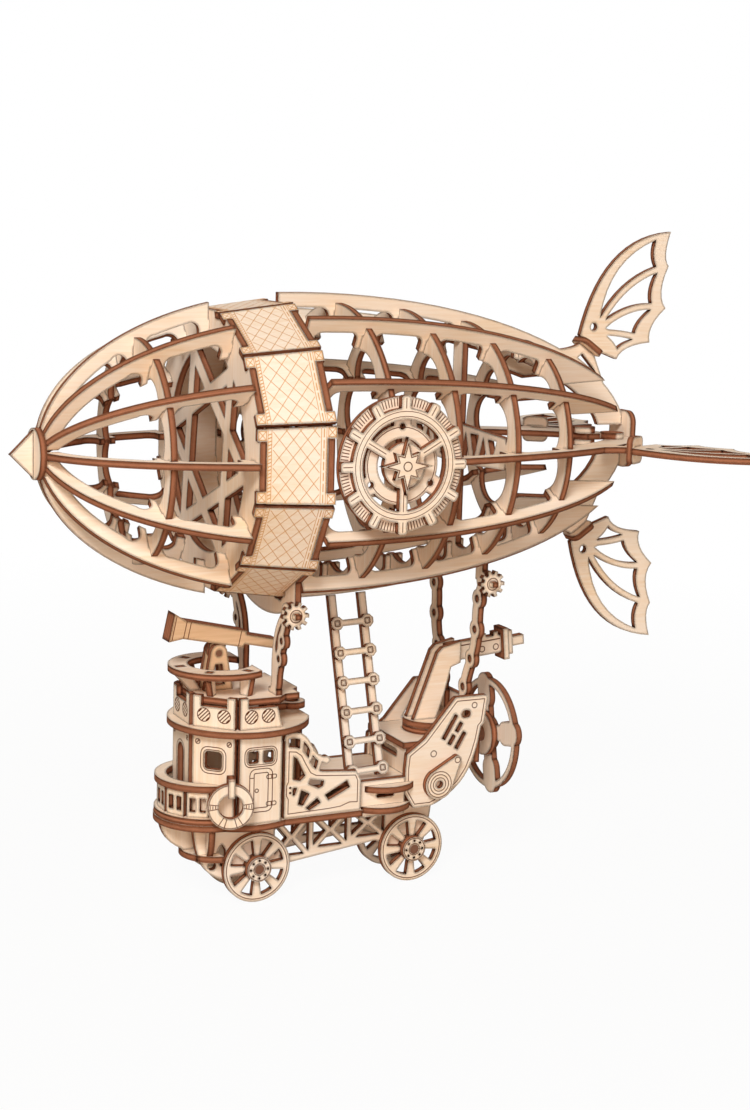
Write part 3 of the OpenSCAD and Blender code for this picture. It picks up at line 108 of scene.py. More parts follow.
BAND_IN_FRONT = hull_at(BAND_X) - BAND_SINK
BAND_IN_REAR = hull_at(BAND_X + BAND_LEN) - BAND_SINK
BAND_TILT = math.atan((BAND_IN_REAR - BAND_IN_FRONT) / BAND_LEN)
DIAL_Y = hull_at(RIB_X[0]) - DIAL_SINK
LADDER_TOP = (-3.0, 0.3, HULL_Z - hull_at(RIB_X[0]) - 0.1)
LADDER_LOW = (LADDER_W + RAIL_W) / 2 * math.sin(LADDER_AFT) + PLY * math.sin(LADDER_LEAN)
LADDER_LEN = (LADDER_TOP[2] - FLOOR_TOP - SLOT_GAP - LADDER_LOW) / math.cos(LADDER_LEAN)
WALL_HALF = (TOWER_A - PLY) * math.tan(math.radians(22.5)) - SLOT_GAP
WALL_H = STOREY_Z - DECK_TOP - 2 * SLOT_GAP

# Which way each sheet faces: along an axis, or out from or round an upright or lengthwise axis
ALONG_X = ("end_discs", "front_rib", "front_bulkhead", "rear_bulkhead", "rib_1", "rib_2", "rib_3", "rib_4",
           "front_struts", "rear_struts", "stern_frames", "propeller")
ALONG_Y = ("nose_plate", "vertical_fins", "dials", "helms", "helm_bosses", "strut_gears", "keel_plates",
           "side_panels", "bulwarks", "stern_panels", "crank_covers", "gun_cheeks", "gun_barrel",
           "front_wheels", "rear_wheels")
# The telescope and its stand get a tan birch face: painted shade, standing in for the shadow of the hull
# above them
HULL_SHADED_SHEETS = ("telescope_stand", "telescope")
ALONG_Z = ("base_deck", "bow_plates", "balcony_rail", "tower_ring", "top_deck", "lookout", "steps",
           "mid_deck", "gun_platform", "turntable", "mooring_eye", "horizontal_fins")
LEANING = ("ladder_rails", "ladder_rungs")
ROUND_HULL = ("front_stringers", "rear_stringers", "fin_stringers")
OUT_OF_HULL = ("band_panels",)
FIN_SEATS = ("fin_fittings",)
OUT_OF_TOWER = ("tower_walls", "battlements")
ROUND_TOWER = ("lookout_brackets",)
OUT_OF_BOW = ("balcony_panels",)
ROUND_BOW = ("bow_brackets",)
# The hook's front edge is as pale as a face, so it shares the buoy's look
BUOY_AND_HOOK = ("life_buoy", "buoy_hook")
DOWELS = ("pivot_pins", "propeller_shaft", "front_axle", "rear_axle")


def linear(hex_colour):
    """Linear colour of an sRGB hex value."""
    parts = [int(hex_colour[i:i + 2], 16) / 255 for i in (0, 2, 4)]
    return tuple(c / 12.92 if c <= 0.04045 else ((c + 0.055) / 1.055) ** 2.4 for c in parts)


def colour(name, description, hex_colour):
    """Colour property with a hex default."""
    return FloatVectorProperty(name=name, description=description, subtype="COLOR", size=3, min=0, max=1,
                               default=linear(hex_colour))


def length(name, description, millimetres):
    """Length property with a default in millimetres."""
    return FloatProperty(name=name, description=description, unit="LENGTH", precision=5, min=0,
                         default=millimetres * MM)


class AirshipSizes(bpy.types.PropertyGroup):
    line_width: length("Line width", "Usual width of an engraved line", 0.28)
    fine_width: length("Fine line width", "Width of a line of the quilting", 0.2)
    line_proud: length("Line height", "How far a line's char stands above the face", 0.03)
    quilt_along: length("Quilt length", "Length of a diamond along the hull", 4.1)
    quilt_round: length("Quilt width", "Width of a diamond round the hull", 5.0)
    grain_width: length("Grain width", "Distance between streaks of the birch", 0.9)
    grain_length: length("Grain length", "Length of a streak of the birch", 14)
    veneer: length("Veneer", "Thickness of one layer of the plywood", 0.667)
    rim_width: length("Burnt rim", "Reach of the burnt rim from a cut corner", 1.5)
    dial_ticks: IntProperty(name="Dial ticks", description="Ticks round a dial", default=120, min=24, max=240)


class AirshipColours(bpy.types.PropertyGroup):
    birch: colour("Birch", "Bare sanded birch face", "F4E2D1")
    birch_streak: colour("Birch streak", "Darker streaks of the birch", "EACBAA")
    # Tan birch and its streaks are painted shade: the shadow of the hull on the telescope and its stand
    tan: colour("Tan birch", "Face of a darker sheet of birch", "DDB893")
    painted_shade_streak: colour("Tan streak", "Darker streaks of that sheet", "CDA27B")
    char: colour("Cut edge", "Edge browned by the laser", "AE7052")
    char_deep: colour("Deep char", "Darkest layer of a cut edge", "1C0A04")
    line: colour("Engraved line", "Line scorched into the face", "5A3320")
    fine_line: colour("Fine line", "Light scorch of the quilting", "BC8A58")
    dowel: colour("Dowel", "Browned dowel", "7A4C33")
    floor: colour("Floor", "Pale floor", "D6D0C8")


# Materials

# Colour sockets of a Mix node
MIX_SHARE, MIX_FIRST, MIX_SECOND, MIX_RESULT = 0, 6, 7, 2

# Values between which the plywood's looks change
EDGE_TO_FACE = (0.62, 0.78)
STREAK_TONE = (0.12, 0.42)
LAYER_DEPTH = (0.1, 0.5)
RIM_ON_FACE = (0.82, 0.93)
RIM_ON_EDGE = (0.93, 0.998)
# Most char that a layer of the edge and a rim can take
LAYER_CHAR = 0.55
RIM_CHAR = 0.97
# Face first, cut edge second
ROUGHNESS = (0.58, 0.8)
SHEEN = (0.15, 0.03)
# Sizes of noise, per millimetre
TONE_SCALE = 0.03
SOOT_SCALE = 0.35
BURN_SCALE = 0.8
DOWEL_SCALE = 1.4
# Height of the grain's relief
GRAIN_HEIGHT = 0.05 * MM
# How much paler a scorched line gets along its way, and how dark a dowel's mottling is
PALE_BURN = 1.5
DOWEL_MOTTLE = 0.6


def add(tree, kind, sockets=None, **settings):
    """Adds a node, sets it and links or fills its sockets."""
    node = tree.nodes.new("ShaderNode" + kind)
    for name, value in settings.items():
        setattr(node, name, value)
    for socket, source in (sockets or {}).items():
        if isinstance(source, bpy.types.NodeSocket):
            tree.links.new(source, node.inputs[socket])
        else:
            node.inputs[socket].default_value = source
    return node


def new_material(name):
    """Material with an empty node tree, and that tree."""
    material = bpy.data.materials.new(name)
    material.use_nodes = True
    material.node_tree.nodes.clear()
    return material, material.node_tree


def rgba(value):
    """Colour with full alpha."""
    return (*value, 1.0)


def place_in_mm(tree):
    """Socket with the place of a point in millimetres."""
    coords = add(tree, "TexCoord")
    scaled = add(tree, "VectorMath", {0: coords.outputs["Object"], "Scale": 1 / MM}, operation="SCALE")
    return scaled.outputs[0]


def dot(tree, first, second):
    """Socket with the dot product of two vectors."""
    return add(tree, "VectorMath", {0: first, 1: second}, operation="DOT_PRODUCT").outputs["Value"]


def product(tree, first, second):
    """Socket with the product of two numbers."""
    return add(tree, "Math", {0: first, 1: second}, operation="MULTIPLY").outputs[0]


def spread(tree, value, outcome, reach=(0.0, 1.0)):
    """Socket that goes from one outcome to the other while the value runs over its reach."""
    sockets = {"Value": value, "From Min": reach[0], "From Max": reach[1], "To Min": outcome[0],
               "To Max": outcome[1]}
    return add(tree, "MapRange", sockets).outputs[0]


def blend(tree, share, first, second):
    """Socket with a colour between two others."""
    sockets = {MIX_SHARE: share, MIX_FIRST: first, MIX_SECOND: second}
    return add(tree, "Mix", sockets, data_type="RGBA").outputs[MIX_RESULT]


def seen_by_eye(tree):
    """Socket that is 1 for what the camera sees, straight, mirrored or through glass."""
    path = add(tree, "LightPath")
    seen = path.outputs["Is Camera Ray"]
    for ray in ("Is Glossy Ray", "Is Transmission Ray"):
        seen = add(tree, "Math", {0: seen, 1: path.outputs[ray]}, operation="MAXIMUM").outputs[0]
    return seen


def sheet_direction(tree, place, way):
    """Direction that a sheet's face looks along: a fixed one, or a socket that turns with the place."""
    kind, data = way
    if kind == "along":
        return data
    centre, mask, lean = data
    from_axis = add(tree, "VectorMath", {0: place, 1: centre}, operation="SUBTRACT")
    out = add(tree, "VectorMath", {0: from_axis.outputs[0], 1: mask}, operation="MULTIPLY")
    out = add(tree, "VectorMath", {0: out.outputs[0]}, operation="NORMALIZE")
    if kind == "round":
        axis = tuple(1.0 - m for m in mask)
        out = add(tree, "VectorMath", {0: out.outputs[0], 1: axis}, operation="CROSS_PRODUCT")
    if lean:
        out = add(tree, "VectorMath", {0: out.outputs[0], "Scale": math.cos(lean)}, operation="SCALE")
        out = add(tree, "VectorMath", {0: out.outputs[0], 1: (math.sin(lean), 0, 0)}, operation="ADD")
    return out.outputs[0]


def birch_ply(name, way, grain, tints, sizes, colours):
    """Sanded birch plywood: pale faces with faint streaks, edges browned and layered by the laser."""
    material, tree = new_material(name)
    place = place_in_mm(tree)
    normal = add(tree, "TexCoord").outputs["Normal"]
    direction = sheet_direction(tree, place, way)
    turned = add(tree, "Math", {0: dot(tree, normal, direction)}, operation="ABSOLUTE")
    edge = spread(tree, turned.outputs[0], (1.0, 0.0), EDGE_TO_FACE)
    # Streaks follow the grain, as long and as far apart as in rotary-cut veneer
    across = MM / sizes.grain_width
    along = MM / sizes.grain_length
    stretch = tuple(along if g else across for g in grain)
    streak_at = add(tree, "VectorMath", {0: place, 1: stretch}, operation="MULTIPLY")
    streak = add(tree, "TexNoise", {"Vector": streak_at.outputs[0], "Scale": 1.0, "Detail": 4.0,
                                    "Roughness": 0.6}).outputs["Fac"]
    tone = add(tree, "TexNoise", {"Vector": place, "Scale": TONE_SCALE, "Detail": 1.0}).outputs["Fac"]
    amount = spread(tree, product(tree, streak, tone), (0.0, 1.0), STREAK_TONE)
    face = blend(tree, amount, rgba(tints[0]), rgba(tints[1]))
    # Layers of the sheet show as darker and lighter lines on its edges
    layer = add(tree, "Math", {0: dot(tree, place, direction), 1: sizes.veneer / MM}, operation="PINGPONG")
    layer = spread(tree, layer.outputs[0], (0.0, LAYER_CHAR), LAYER_DEPTH)
    soot = add(tree, "TexNoise", {"Vector": place, "Scale": SOOT_SCALE, "Detail": 3.0}).outputs["Fac"]
    char = blend(tree, product(tree, layer, soot), rgba(colours.char), rgba(colours.char_deep))
    skin = blend(tree, edge, face, char)
    # The beam leaves a dark rim along every cut corner, a hair line on a face and wider on a cut edge
    worn = add(tree, "Bevel", {"Radius": sizes.rim_width}, samples=4)
    corner = dot(tree, worn.outputs[0], add(tree, "NewGeometry").outputs["Normal"])
    start, stop = (spread(tree, edge, ends) for ends in zip(RIM_ON_FACE, RIM_ON_EDGE))
    rim = spread(tree, corner, (RIM_CHAR, 0.0), (start, stop))
    skin = blend(tree, rim, skin, rgba(colours.char_deep))
    bump = add(tree, "Bump", {"Strength": 0.25, "Distance": GRAIN_HEIGHT, "Height": streak})
    shader = add(tree, "BsdfPrincipled", {"Base Color": skin, "Roughness": spread(tree, edge, ROUGHNESS),
                                          "Normal": bump.outputs[0],
                                          "Specular IOR Level": spread(tree, edge, SHEEN)})
    add(tree, "OutputMaterial", {"Surface": shader.outputs[0]})
    return material


def scorch(name, tint):
    """Line charred into birch by the laser: matt brown, with the burn uneven along it."""
    material, tree = new_material(name)
    burn = add(tree, "TexNoise", {"Vector": place_in_mm(tree), "Scale": BURN_SCALE, "Detail": 3.0})
    pale = tuple(min(1.0, PALE_BURN * c) for c in tint)
    shade = blend(tree, burn.outputs["Fac"], rgba(tint), rgba(pale))
    shader = add(tree, "BsdfPrincipled", {"Base Color": shade, "Roughness": 0.85, "Specular IOR Level": 0.05})
    add(tree, "OutputMaterial", {"Surface": shader.outputs[0]})
    return material


def brown_dowel(name, tint):
    """Turned dowel, browned: fine mottling and a dull surface."""
    material, tree = new_material(name)
    mottle = add(tree, "TexNoise", {"Vector": place_in_mm(tree), "Scale": DOWEL_SCALE, "Detail": 5.0})
    deep = tuple(DOWEL_MOTTLE * c for c in tint)
    shade = blend(tree, mottle.outputs["Fac"], rgba(tint), rgba(deep))
    bump = add(tree, "Bump", {"Strength": 0.2, "Distance": GRAIN_HEIGHT, "Height": mottle.outputs["Fac"]})
    shader = add(tree, "BsdfPrincipled", {"Base Color": shade, "Roughness": 0.65, "Normal": bump.outputs[0]})
    add(tree, "OutputMaterial", {"Surface": shader.outputs[0]})
    return material


# Engraved lines

QUARTER = math.pi / 2
BOTH_SIDES = (Matrix.Identity(4), Matrix.Diagonal((1, -1, 1, 1)))
# Thickness of a line's bar in millimetres, the share of its width by which it laps the next one, and the
# steps of a round corner
LINE_DEPTH = 0.16
LINE_LAP = 0.6
CORNER_STEPS = 4


def move(x, y, z):
    """Matrix of a move."""
    return Matrix.Translation((x, y, z))


def turn(angle, axis):
    """Matrix of a turn about an axis."""
    return Matrix.Rotation(angle, 4, axis)


def heading(angle):
    """Unit vector at an angle in a plane."""
    return Vector((math.cos(angle), math.sin(angle)))


def on_side(y, x=0.0, z=0.0):
    """Plane of a face that looks to port at distance y: across is aft, up is up."""
    return move(x, -y, z) @ turn(QUARTER, "X")


def on_facet(x, face, angle, z):
    """Plane of an upright face at a distance from an upright axis."""
    return move(x, 0, z) @ turn(angle, "Z") @ move(face, 0, 0) @ turn(QUARTER, "Z") @ turn(QUARTER, "X")


def about_hull(angle):
    """Frame on the hull's axis, turned about it."""
    return move(0, 0, HULL_Z) @ turn(angle, "X")


class Graver:
    """Draws charred lines on flat faces and turns them into one piece."""

    def __init__(self, name, width, sizes):
        self.name = name
        self.width = width / MM
        self.proud = sizes.line_proud / MM
        self.mesh = bmesh.new()

    def line(self, plane, start, end, width=None):
        """Straight line between two points of a plane, in millimetres."""
        start, end = Vector(start), Vector(end)
        width = width or self.width
        run = end - start
        middle = (start + end) / 2
        shape = Matrix.Diagonal((run.length + LINE_LAP * width, width, LINE_DEPTH, 1))
        place = plane @ move(middle.x, middle.y, self.proud - LINE_DEPTH / 2)
        place = place @ turn(math.atan2(run.y, run.x), "Z") @ shape
        bmesh.ops.create_cube(self.mesh, size=1, matrix=Matrix.Scale(MM, 4) @ place)

    def path(self, plane, points, closed=False, width=None):
        """Lines through a row of points."""
        ends = points[1:] + points[:1] if closed else points[1:]
        for start, end in zip(points, ends):
            self.line(plane, start, end, width)

    def ring(self, plane, centre, radius, steps, width=None):
        """Round line."""
        points = [(centre[0] + radius * math.cos(2 * math.pi * i / steps),
                   centre[1] + radius * math.sin(2 * math.pi * i / steps)) for i in range(steps)]
        self.path(plane, points, closed=True, width=width)

    def frame(self, plane, centre, wide, high, corner, width=None):
        """Rectangle with round corners."""
        points = []
        for quarter, (i, j) in enumerate(((1, 1), (-1, 1), (-1, -1), (1, -1))):
            cx = centre[0] + i * (wide / 2 - corner)
            cy = centre[1] + j * (high / 2 - corner)
            for k in range(CORNER_STEPS + 1):
                a = (quarter + k / CORNER_STEPS) * QUARTER
                points.append((cx + corner * math.cos(a), cy + corner * math.sin(a)))
        self.path(plane, points, closed=True, width=width)

    def finish(self, body, material, slot="dowel"):
        """Makes the piece, which rides on a body."""
        if not self.mesh.faces:
            raise RuntimeError(self.name + " has no lines")
        bmesh.ops.recalc_face_normals(self.mesh, faces=self.mesh.faces)
        data = bpy.data.meshes.new(self.name)
        self.mesh.to_mesh(data)
        self.mesh.free()
        piece = bpy.data.objects.new(self.name, data)
        bpy.context.scene.collection.objects.link(piece)
        data.materials.append(material)
        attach(piece, body)


def ink(context, fine=False):
    """Material of the engraved lines, made once."""
    colours = context.scene.airship_colours
    name = "light_scorch" if fine else "dark_scorch"
    tint = colours.fine_line if fine else colours.line
    return bpy.data.materials.get(name) or scorch(name, tint)


def graver(context, name, fine=False):
    """Graver for a piece, set to the usual or the fine width."""
    sizes = context.scene.airship_sizes
    return Graver(name, sizes.fine_width if fine else sizes.line_width, sizes)


class AIRSHIP_OT_plywood(bpy.types.Operator):
    """Gives every sheet its birch faces and burnt edges, and the dowels their brown"""
    bl_idname = "airship.plywood"
    bl_label = "Plywood"

    def execute(self, context):
        sizes, colours = context.scene.airship_sizes, context.scene.airship_colours
        hull = (0, 0, HULL_Z)
        lengthwise, upright = (0, 1, 1), (1, 1, 0)
        out = (math.cos(BUOY_TURN), math.sin(BUOY_TURN), 0)
        lean = (0, math.cos(LADDER_LEAN), -math.sin(LADDER_LEAN))
        # Name, sheets, the way they face and the way their grain runs
        finishes = (
            ("birch_across_hull", ALONG_X, ("along", (1, 0, 0)), (0, 0, 1)),
            ("birch_fore_and_aft", ALONG_Y, ("along", (0, 1, 0)), (1, 0, 0)),
            # Telescope and stand: birch darkened as painted shade of the hull above
            ("birch_painted_hull_shade", HULL_SHADED_SHEETS, ("along", (0, 1, 0)), (1, 0, 0)),
            ("birch_level", ALONG_Z, ("along", (0, 0, 1)), (1, 0, 0)),
            ("birch_ladder", LEANING, ("along", lean), (0, 0, 1)),
            ("birch_stringer", ROUND_HULL, ("round", (hull, lengthwise, 0)), (1, 0, 0)),
            ("birch_band", OUT_OF_HULL, ("out", (hull, lengthwise, 0)), (1, 0, 0)),
            ("birch_fin_seat", FIN_SEATS, ("out", (hull, lengthwise, FIN_TILT)), (1, 0, 0)),
            ("birch_tower", OUT_OF_TOWER, ("out", ((TOWER_X, 0, 0), upright, 0)), (0, 0, 1)),
            ("birch_lookout_bracket", ROUND_TOWER, ("round", ((TOWER_X, 0, 0), upright, 0)), (0, 0, 1)),
            ("birch_balcony", OUT_OF_BOW, ("out", ((BOW_X, 0, 0), upright, 0)), (0, 0, 1)),
            ("birch_bow_bracket", ROUND_BOW, ("round", ((BOW_X, 0, 0), upright, 0)), (0, 0, 1)),
            ("birch_buoy", BUOY_AND_HOOK, ("along", out), (0, 0, 1)),
        )
        pale = (colours.birch, colours.birch_streak)
        # Painted shade: the tan tints darken the telescope and its stand as the hull's shadow would
        tan = (colours.tan, colours.painted_shade_streak)
        for name, nodes, way, grain in finishes:
            tints = tan if nodes is HULL_SHADED_SHEETS else pale
            material = birch_ply(name, way, grain, tints, sizes, colours)
            for node in nodes:
                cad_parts[node].material_slots[0].material = material
        dowel = brown_dowel("browned_dowel", colours.dowel)
        for node in DOWELS:
            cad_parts[node].material_slots[0].material = dowel
        return {"FINISHED"}


class AIRSHIP_OT_quilting(bpy.types.Operator):
    """Engraves the quilted band: diamonds, stitched borders and crossed tabs"""
    bl_idname = "airship.quilting"
    bl_label = "Quilted band"

    def diamonds(self, quilt, plane, run, half, grow, sizes):
        """Two sets of slanted lines, cut off at the panel's hems and its long edges."""
        front_hem, rear_hem, margin, shortest = 1.8, 2.3, 0.15, 0.3
        along, round_hull = sizes.quilt_along / MM, sizes.quilt_round / MM
        slope = round_hull / along
        start, stop = front_hem, run - rear_hem
        h = half - margin
        c = start - h / slope
        while c < stop + (h + grow * stop) / slope:
            for s in (slope, -slope):
                # Where the slanted line meets the panel's long edges
                ends = sorted(((h + s * c) / (s - grow), (s * c - h) / (s + grow)))
                a, b = max(start, ends[0]), min(stop, ends[1])
                if b - a > shortest:
                    quilt.line(plane, (a, s * (a - c)), (b, s * (b - c)))
            c += along

    def hems(self, quilt, border, plane, run, half, grow):
        """Close stitches along the front edge, long ones along the rear edge, with a line on each side."""
        margin, stitch_width = 0.1, 0.3
        hem_lines = (0.25, 1.35, run - 1.9, run - 0.35)
        for u in hem_lines:
            reach = half + grow * u - margin
            quilt.line(plane, (u, -reach), (u, reach))
        stitch_from, stitch_to, slant = 0.45, 1.15, 0.15
        for i in range(-9, 10):
            border.line(plane, (stitch_from, i - slant), (stitch_to, i + slant), stitch_width)
        seam, pitch, half_stitch = run - 1.1, 3.1, 1.1
        for i in range(-3, 4):
            border.line(plane, (seam, i * pitch - half_stitch), (seam, i * pitch + half_stitch), stitch_width)

    def tabs(self, border, plane, run, front, rear):
        """Crossed box on each corner tab."""
        near, far, box, line_width = 0.2, 2.4, 2.5, 0.22
        front_inset, rear_inset = 0.6, 0.4
        for j in (-1, 1):
            for u1, u2, w in ((-far, -near, front - front_inset), (run + near, run + far, rear - rear_inset)):
                v1, v2 = j * w, j * (w - box)
                border.path(plane, [(u1, v1), (u2, v1), (u2, v2), (u1, v2)], True, line_width)
                border.line(plane, (u1, v1), (u2, v2), line_width)
                border.line(plane, (u1, v2), (u2, v1), line_width)

    def execute(self, context):
        quilt = graver(context, "quilt_lines", fine=True)
        border = graver(context, "band_borders")
        run = BAND_LEN / math.cos(BAND_TILT)
        half_step = math.pi / PANELS
        front, rear = (r * math.tan(half_step) - SLOT_GAP for r in (BAND_IN_FRONT, BAND_IN_REAR))
        grow = (rear - front) / run
        for k in range(PANELS):
            plane = about_hull(2 * k * half_step) @ move(BAND_X, 0, BAND_IN_FRONT)
            plane = plane @ turn(-BAND_TILT, "Y") @ move(0, 0, PLY)
            self.diamonds(quilt, plane, run, front, grow, context.scene.airship_sizes)
            self.hems(quilt, border, plane, run, front, grow)
            self.tabs(border, plane, run, front, rear)
        quilt.finish("airframe", ink(context, fine=True))
        border.finish("airframe", ink(context, fine=True))
        return {"FINISHED"}


class AIRSHIP_OT_medallions(bpy.types.Operator):
    """Engraves the dials' ticks and the lines of the ship's wheels and their stars"""
    bl_idname = "airship.medallions"
    bl_label = "Medallions"

    def dial(self, cut, plane, count):
        """Ticks round the dial, with a gap behind each grip of the wheel, and a ring near its middle."""
        tick_in, tick_out = 17.0, 19.2
        grip_step, grip_half = 30, 5
        for i in range(count):
            a = 2 * math.pi * i / count
            from_grip = abs((math.degrees(a) + grip_step / 2) % grip_step - grip_step / 2)
            if from_grip > grip_half:
                cut.line(plane, tick_in * heading(a), tick_out * heading(a), width=0.3)
        cut.ring(plane, (0, 0), 10.8, steps=40, width=0.25)

    def wheel(self, cut, plane):
        """Two rings on the wheel's rim and a line on each grip and each spoke."""
        grips, grip_in, grip_out = 12, 16.4, 19.2
        spoke_in, spoke_out = 7.0, 13.2
        for radius in (14.1, 15.5):
            cut.ring(plane, (0, 0), radius, steps=48, width=0.2)
        for i in range(grips):
            way = heading(i * 2 * math.pi / grips)
            cut.line(plane, grip_in * way, grip_out * way, width=0.25)
        for degrees in (30, 150, 270):
            way = heading(math.radians(degrees))
            cut.line(plane, spoke_in * way, spoke_out * way, width=0.25)

    def star(self, cut, plane):
        """Star of eight rays, long and short in turn, with a ring in its middle."""
        long_ray, short_ray, valley = 6.6, 4.4, 2.75
        corners = 4 * (long_ray, valley, short_ray, valley)
        points = []
        for i, r in enumerate(corners):
            a = math.radians(i * 360 / len(corners) + 90)
            points.append((r * math.cos(a), r * math.sin(a)))
        cut.path(plane, points, closed=True, width=0.25)
        cut.ring(plane, (0, 0), 1.3, steps=20, width=0.3)

    def execute(self, context):
        ticks = graver(context, "dial_ticks")
        lines = graver(context, "helm_lines")
        for flip in BOTH_SIDES:
            dial = flip @ on_side(DIAL_Y + PLY, RIB_X[0], HULL_Z)
            helm = flip @ on_side(DIAL_Y + 2 * PLY + SLOT_GAP, RIB_X[0], HULL_Z)
            boss = flip @ on_side(DIAL_Y + 3 * PLY + 2 * SLOT_GAP, RIB_X[0], HULL_Z)
            self.dial(ticks, dial, context.scene.airship_sizes.dial_ticks)
            self.wheel(lines, helm)
            self.star(lines, boss)
        ticks.finish("airframe", ink(context))
        lines.finish("airframe", ink(context))
        return {"FINISHED"}


class AIRSHIP_OT_tower_lines(bpy.types.Operator):
    """Engraves the tower: window frames, hatches, bolts and hatched portholes"""
    bl_idname = "airship.tower_lines"
    bl_label = "Tower lines"

    def bolts(self, cut, plane, x, y):
        """Bolt with a slotted head near each side of a wall."""
        radius, half_slot = 0.75, 0.4
        for at in (-x, x):
            cut.ring(plane, (at, y), radius, steps=12)
            cut.line(plane, (at - half_slot, y - half_slot), (at + half_slot, y + half_slot), width=0.35)

    def hatch(self, cut, plane, x, y):
        """Door with a double frame, two hinges and a latch."""
        cut.frame(plane, (x, y), 7.4, 13.4, corner=1.9)
        cut.frame(plane, (x, y), 4.6, 10.8, corner=0.5)
        hinge_x, half_pin = x + 3.4, 0.5
        for hinge_y in (y - 4.4, y + 4.0):
            cut.frame(plane, (hinge_x, hinge_y), 3.2, 1.2, corner=0.5, width=0.26)
            cut.line(plane, (hinge_x, hinge_y - half_pin), (hinge_x, hinge_y + half_pin), width=0.26)
            cut.line(plane, (x - 3.7, hinge_y), (x - 2.4, hinge_y), width=0.26)
        cut.ring(plane, (x - 1.4, y), 0.55, steps=12, width=0.26)

    def porthole(self, cut, plane, x, y):
        """Round window drawn with slanting hatching."""
        radius, margin, pitch = 2.05, 0.25, 0.85
        cut.ring(plane, (x, y), radius, steps=20, width=0.3)
        slant = Vector((1, 1)).normalized()
        across = Vector((-1, 1)).normalized()
        for i in range(-2, 3):
            off = i * pitch
            half = math.sqrt((radius - margin) ** 2 - off ** 2)
            middle = Vector((x, y)) + off * across
            cut.line(plane, middle - half * slant, middle + half * slant, width=0.34)

    def door(self, cut, plane):
        """Arch round the door in the front wall."""
        half, foot, spring, steps = 3.5, 3, WALL_H - 7.6, 10
        turns = (math.pi * (1 - i / steps) for i in range(steps + 1))
        arch = [(half * math.cos(a), spring + half * math.sin(a)) for a in turns]
        cut.path(plane, [(-half, foot)] + arch + [(half, foot)])

    def execute(self, context):
        cut = graver(context, "tower_lines")
        walls = {degrees: on_facet(TOWER_X, TOWER_A, math.radians(degrees), DECK_TOP + SLOT_GAP)
                 for degrees in (90, 135, 180, 225, 270)}
        for degrees in (135, 225):
            window = (0, WALL_H - 7.8)
            cut.frame(walls[degrees], window, 8.2, 8.2, corner=2.3)
            cut.frame(walls[degrees], window, 6.5, 6.5, corner=1.6, width=0.2)
            self.bolts(cut, walls[degrees], WALL_HALF - 1.7, WALL_H - 2.4)
        for degrees in (90, 270):
            window = (0, WALL_H - 6.5)
            cut.frame(walls[degrees], window, 10.4, 6.0, corner=1.9)
            cut.frame(walls[degrees], window, 9.2, 4.8, corner=1.4, width=0.2)
            self.hatch(cut, walls[degrees], 0.2, 10.4)
        self.door(cut, walls[180])
        self.bolts(cut, walls[180], WALL_HALF - 1.4, WALL_H - 2.2)
        # The portholes at the sides stand clear of the slope behind them
        pair, clear, above_ring = 3.3, 2.2, 3.9
        places = {90: (-clear, pair), 135: (-pair, pair), 180: (-pair, pair), 225: (-pair, pair),
                  270: (-pair, clear)}
        for degrees, ends in places.items():
            plane = on_facet(TOWER_X, TOWER_A, math.radians(degrees), STOREY_Z + PLY + SLOT_GAP)
            for x in ends:
                self.porthole(cut, plane, x, above_ring)
        cut.finish("airframe", ink(context))
        return {"FINISHED"}


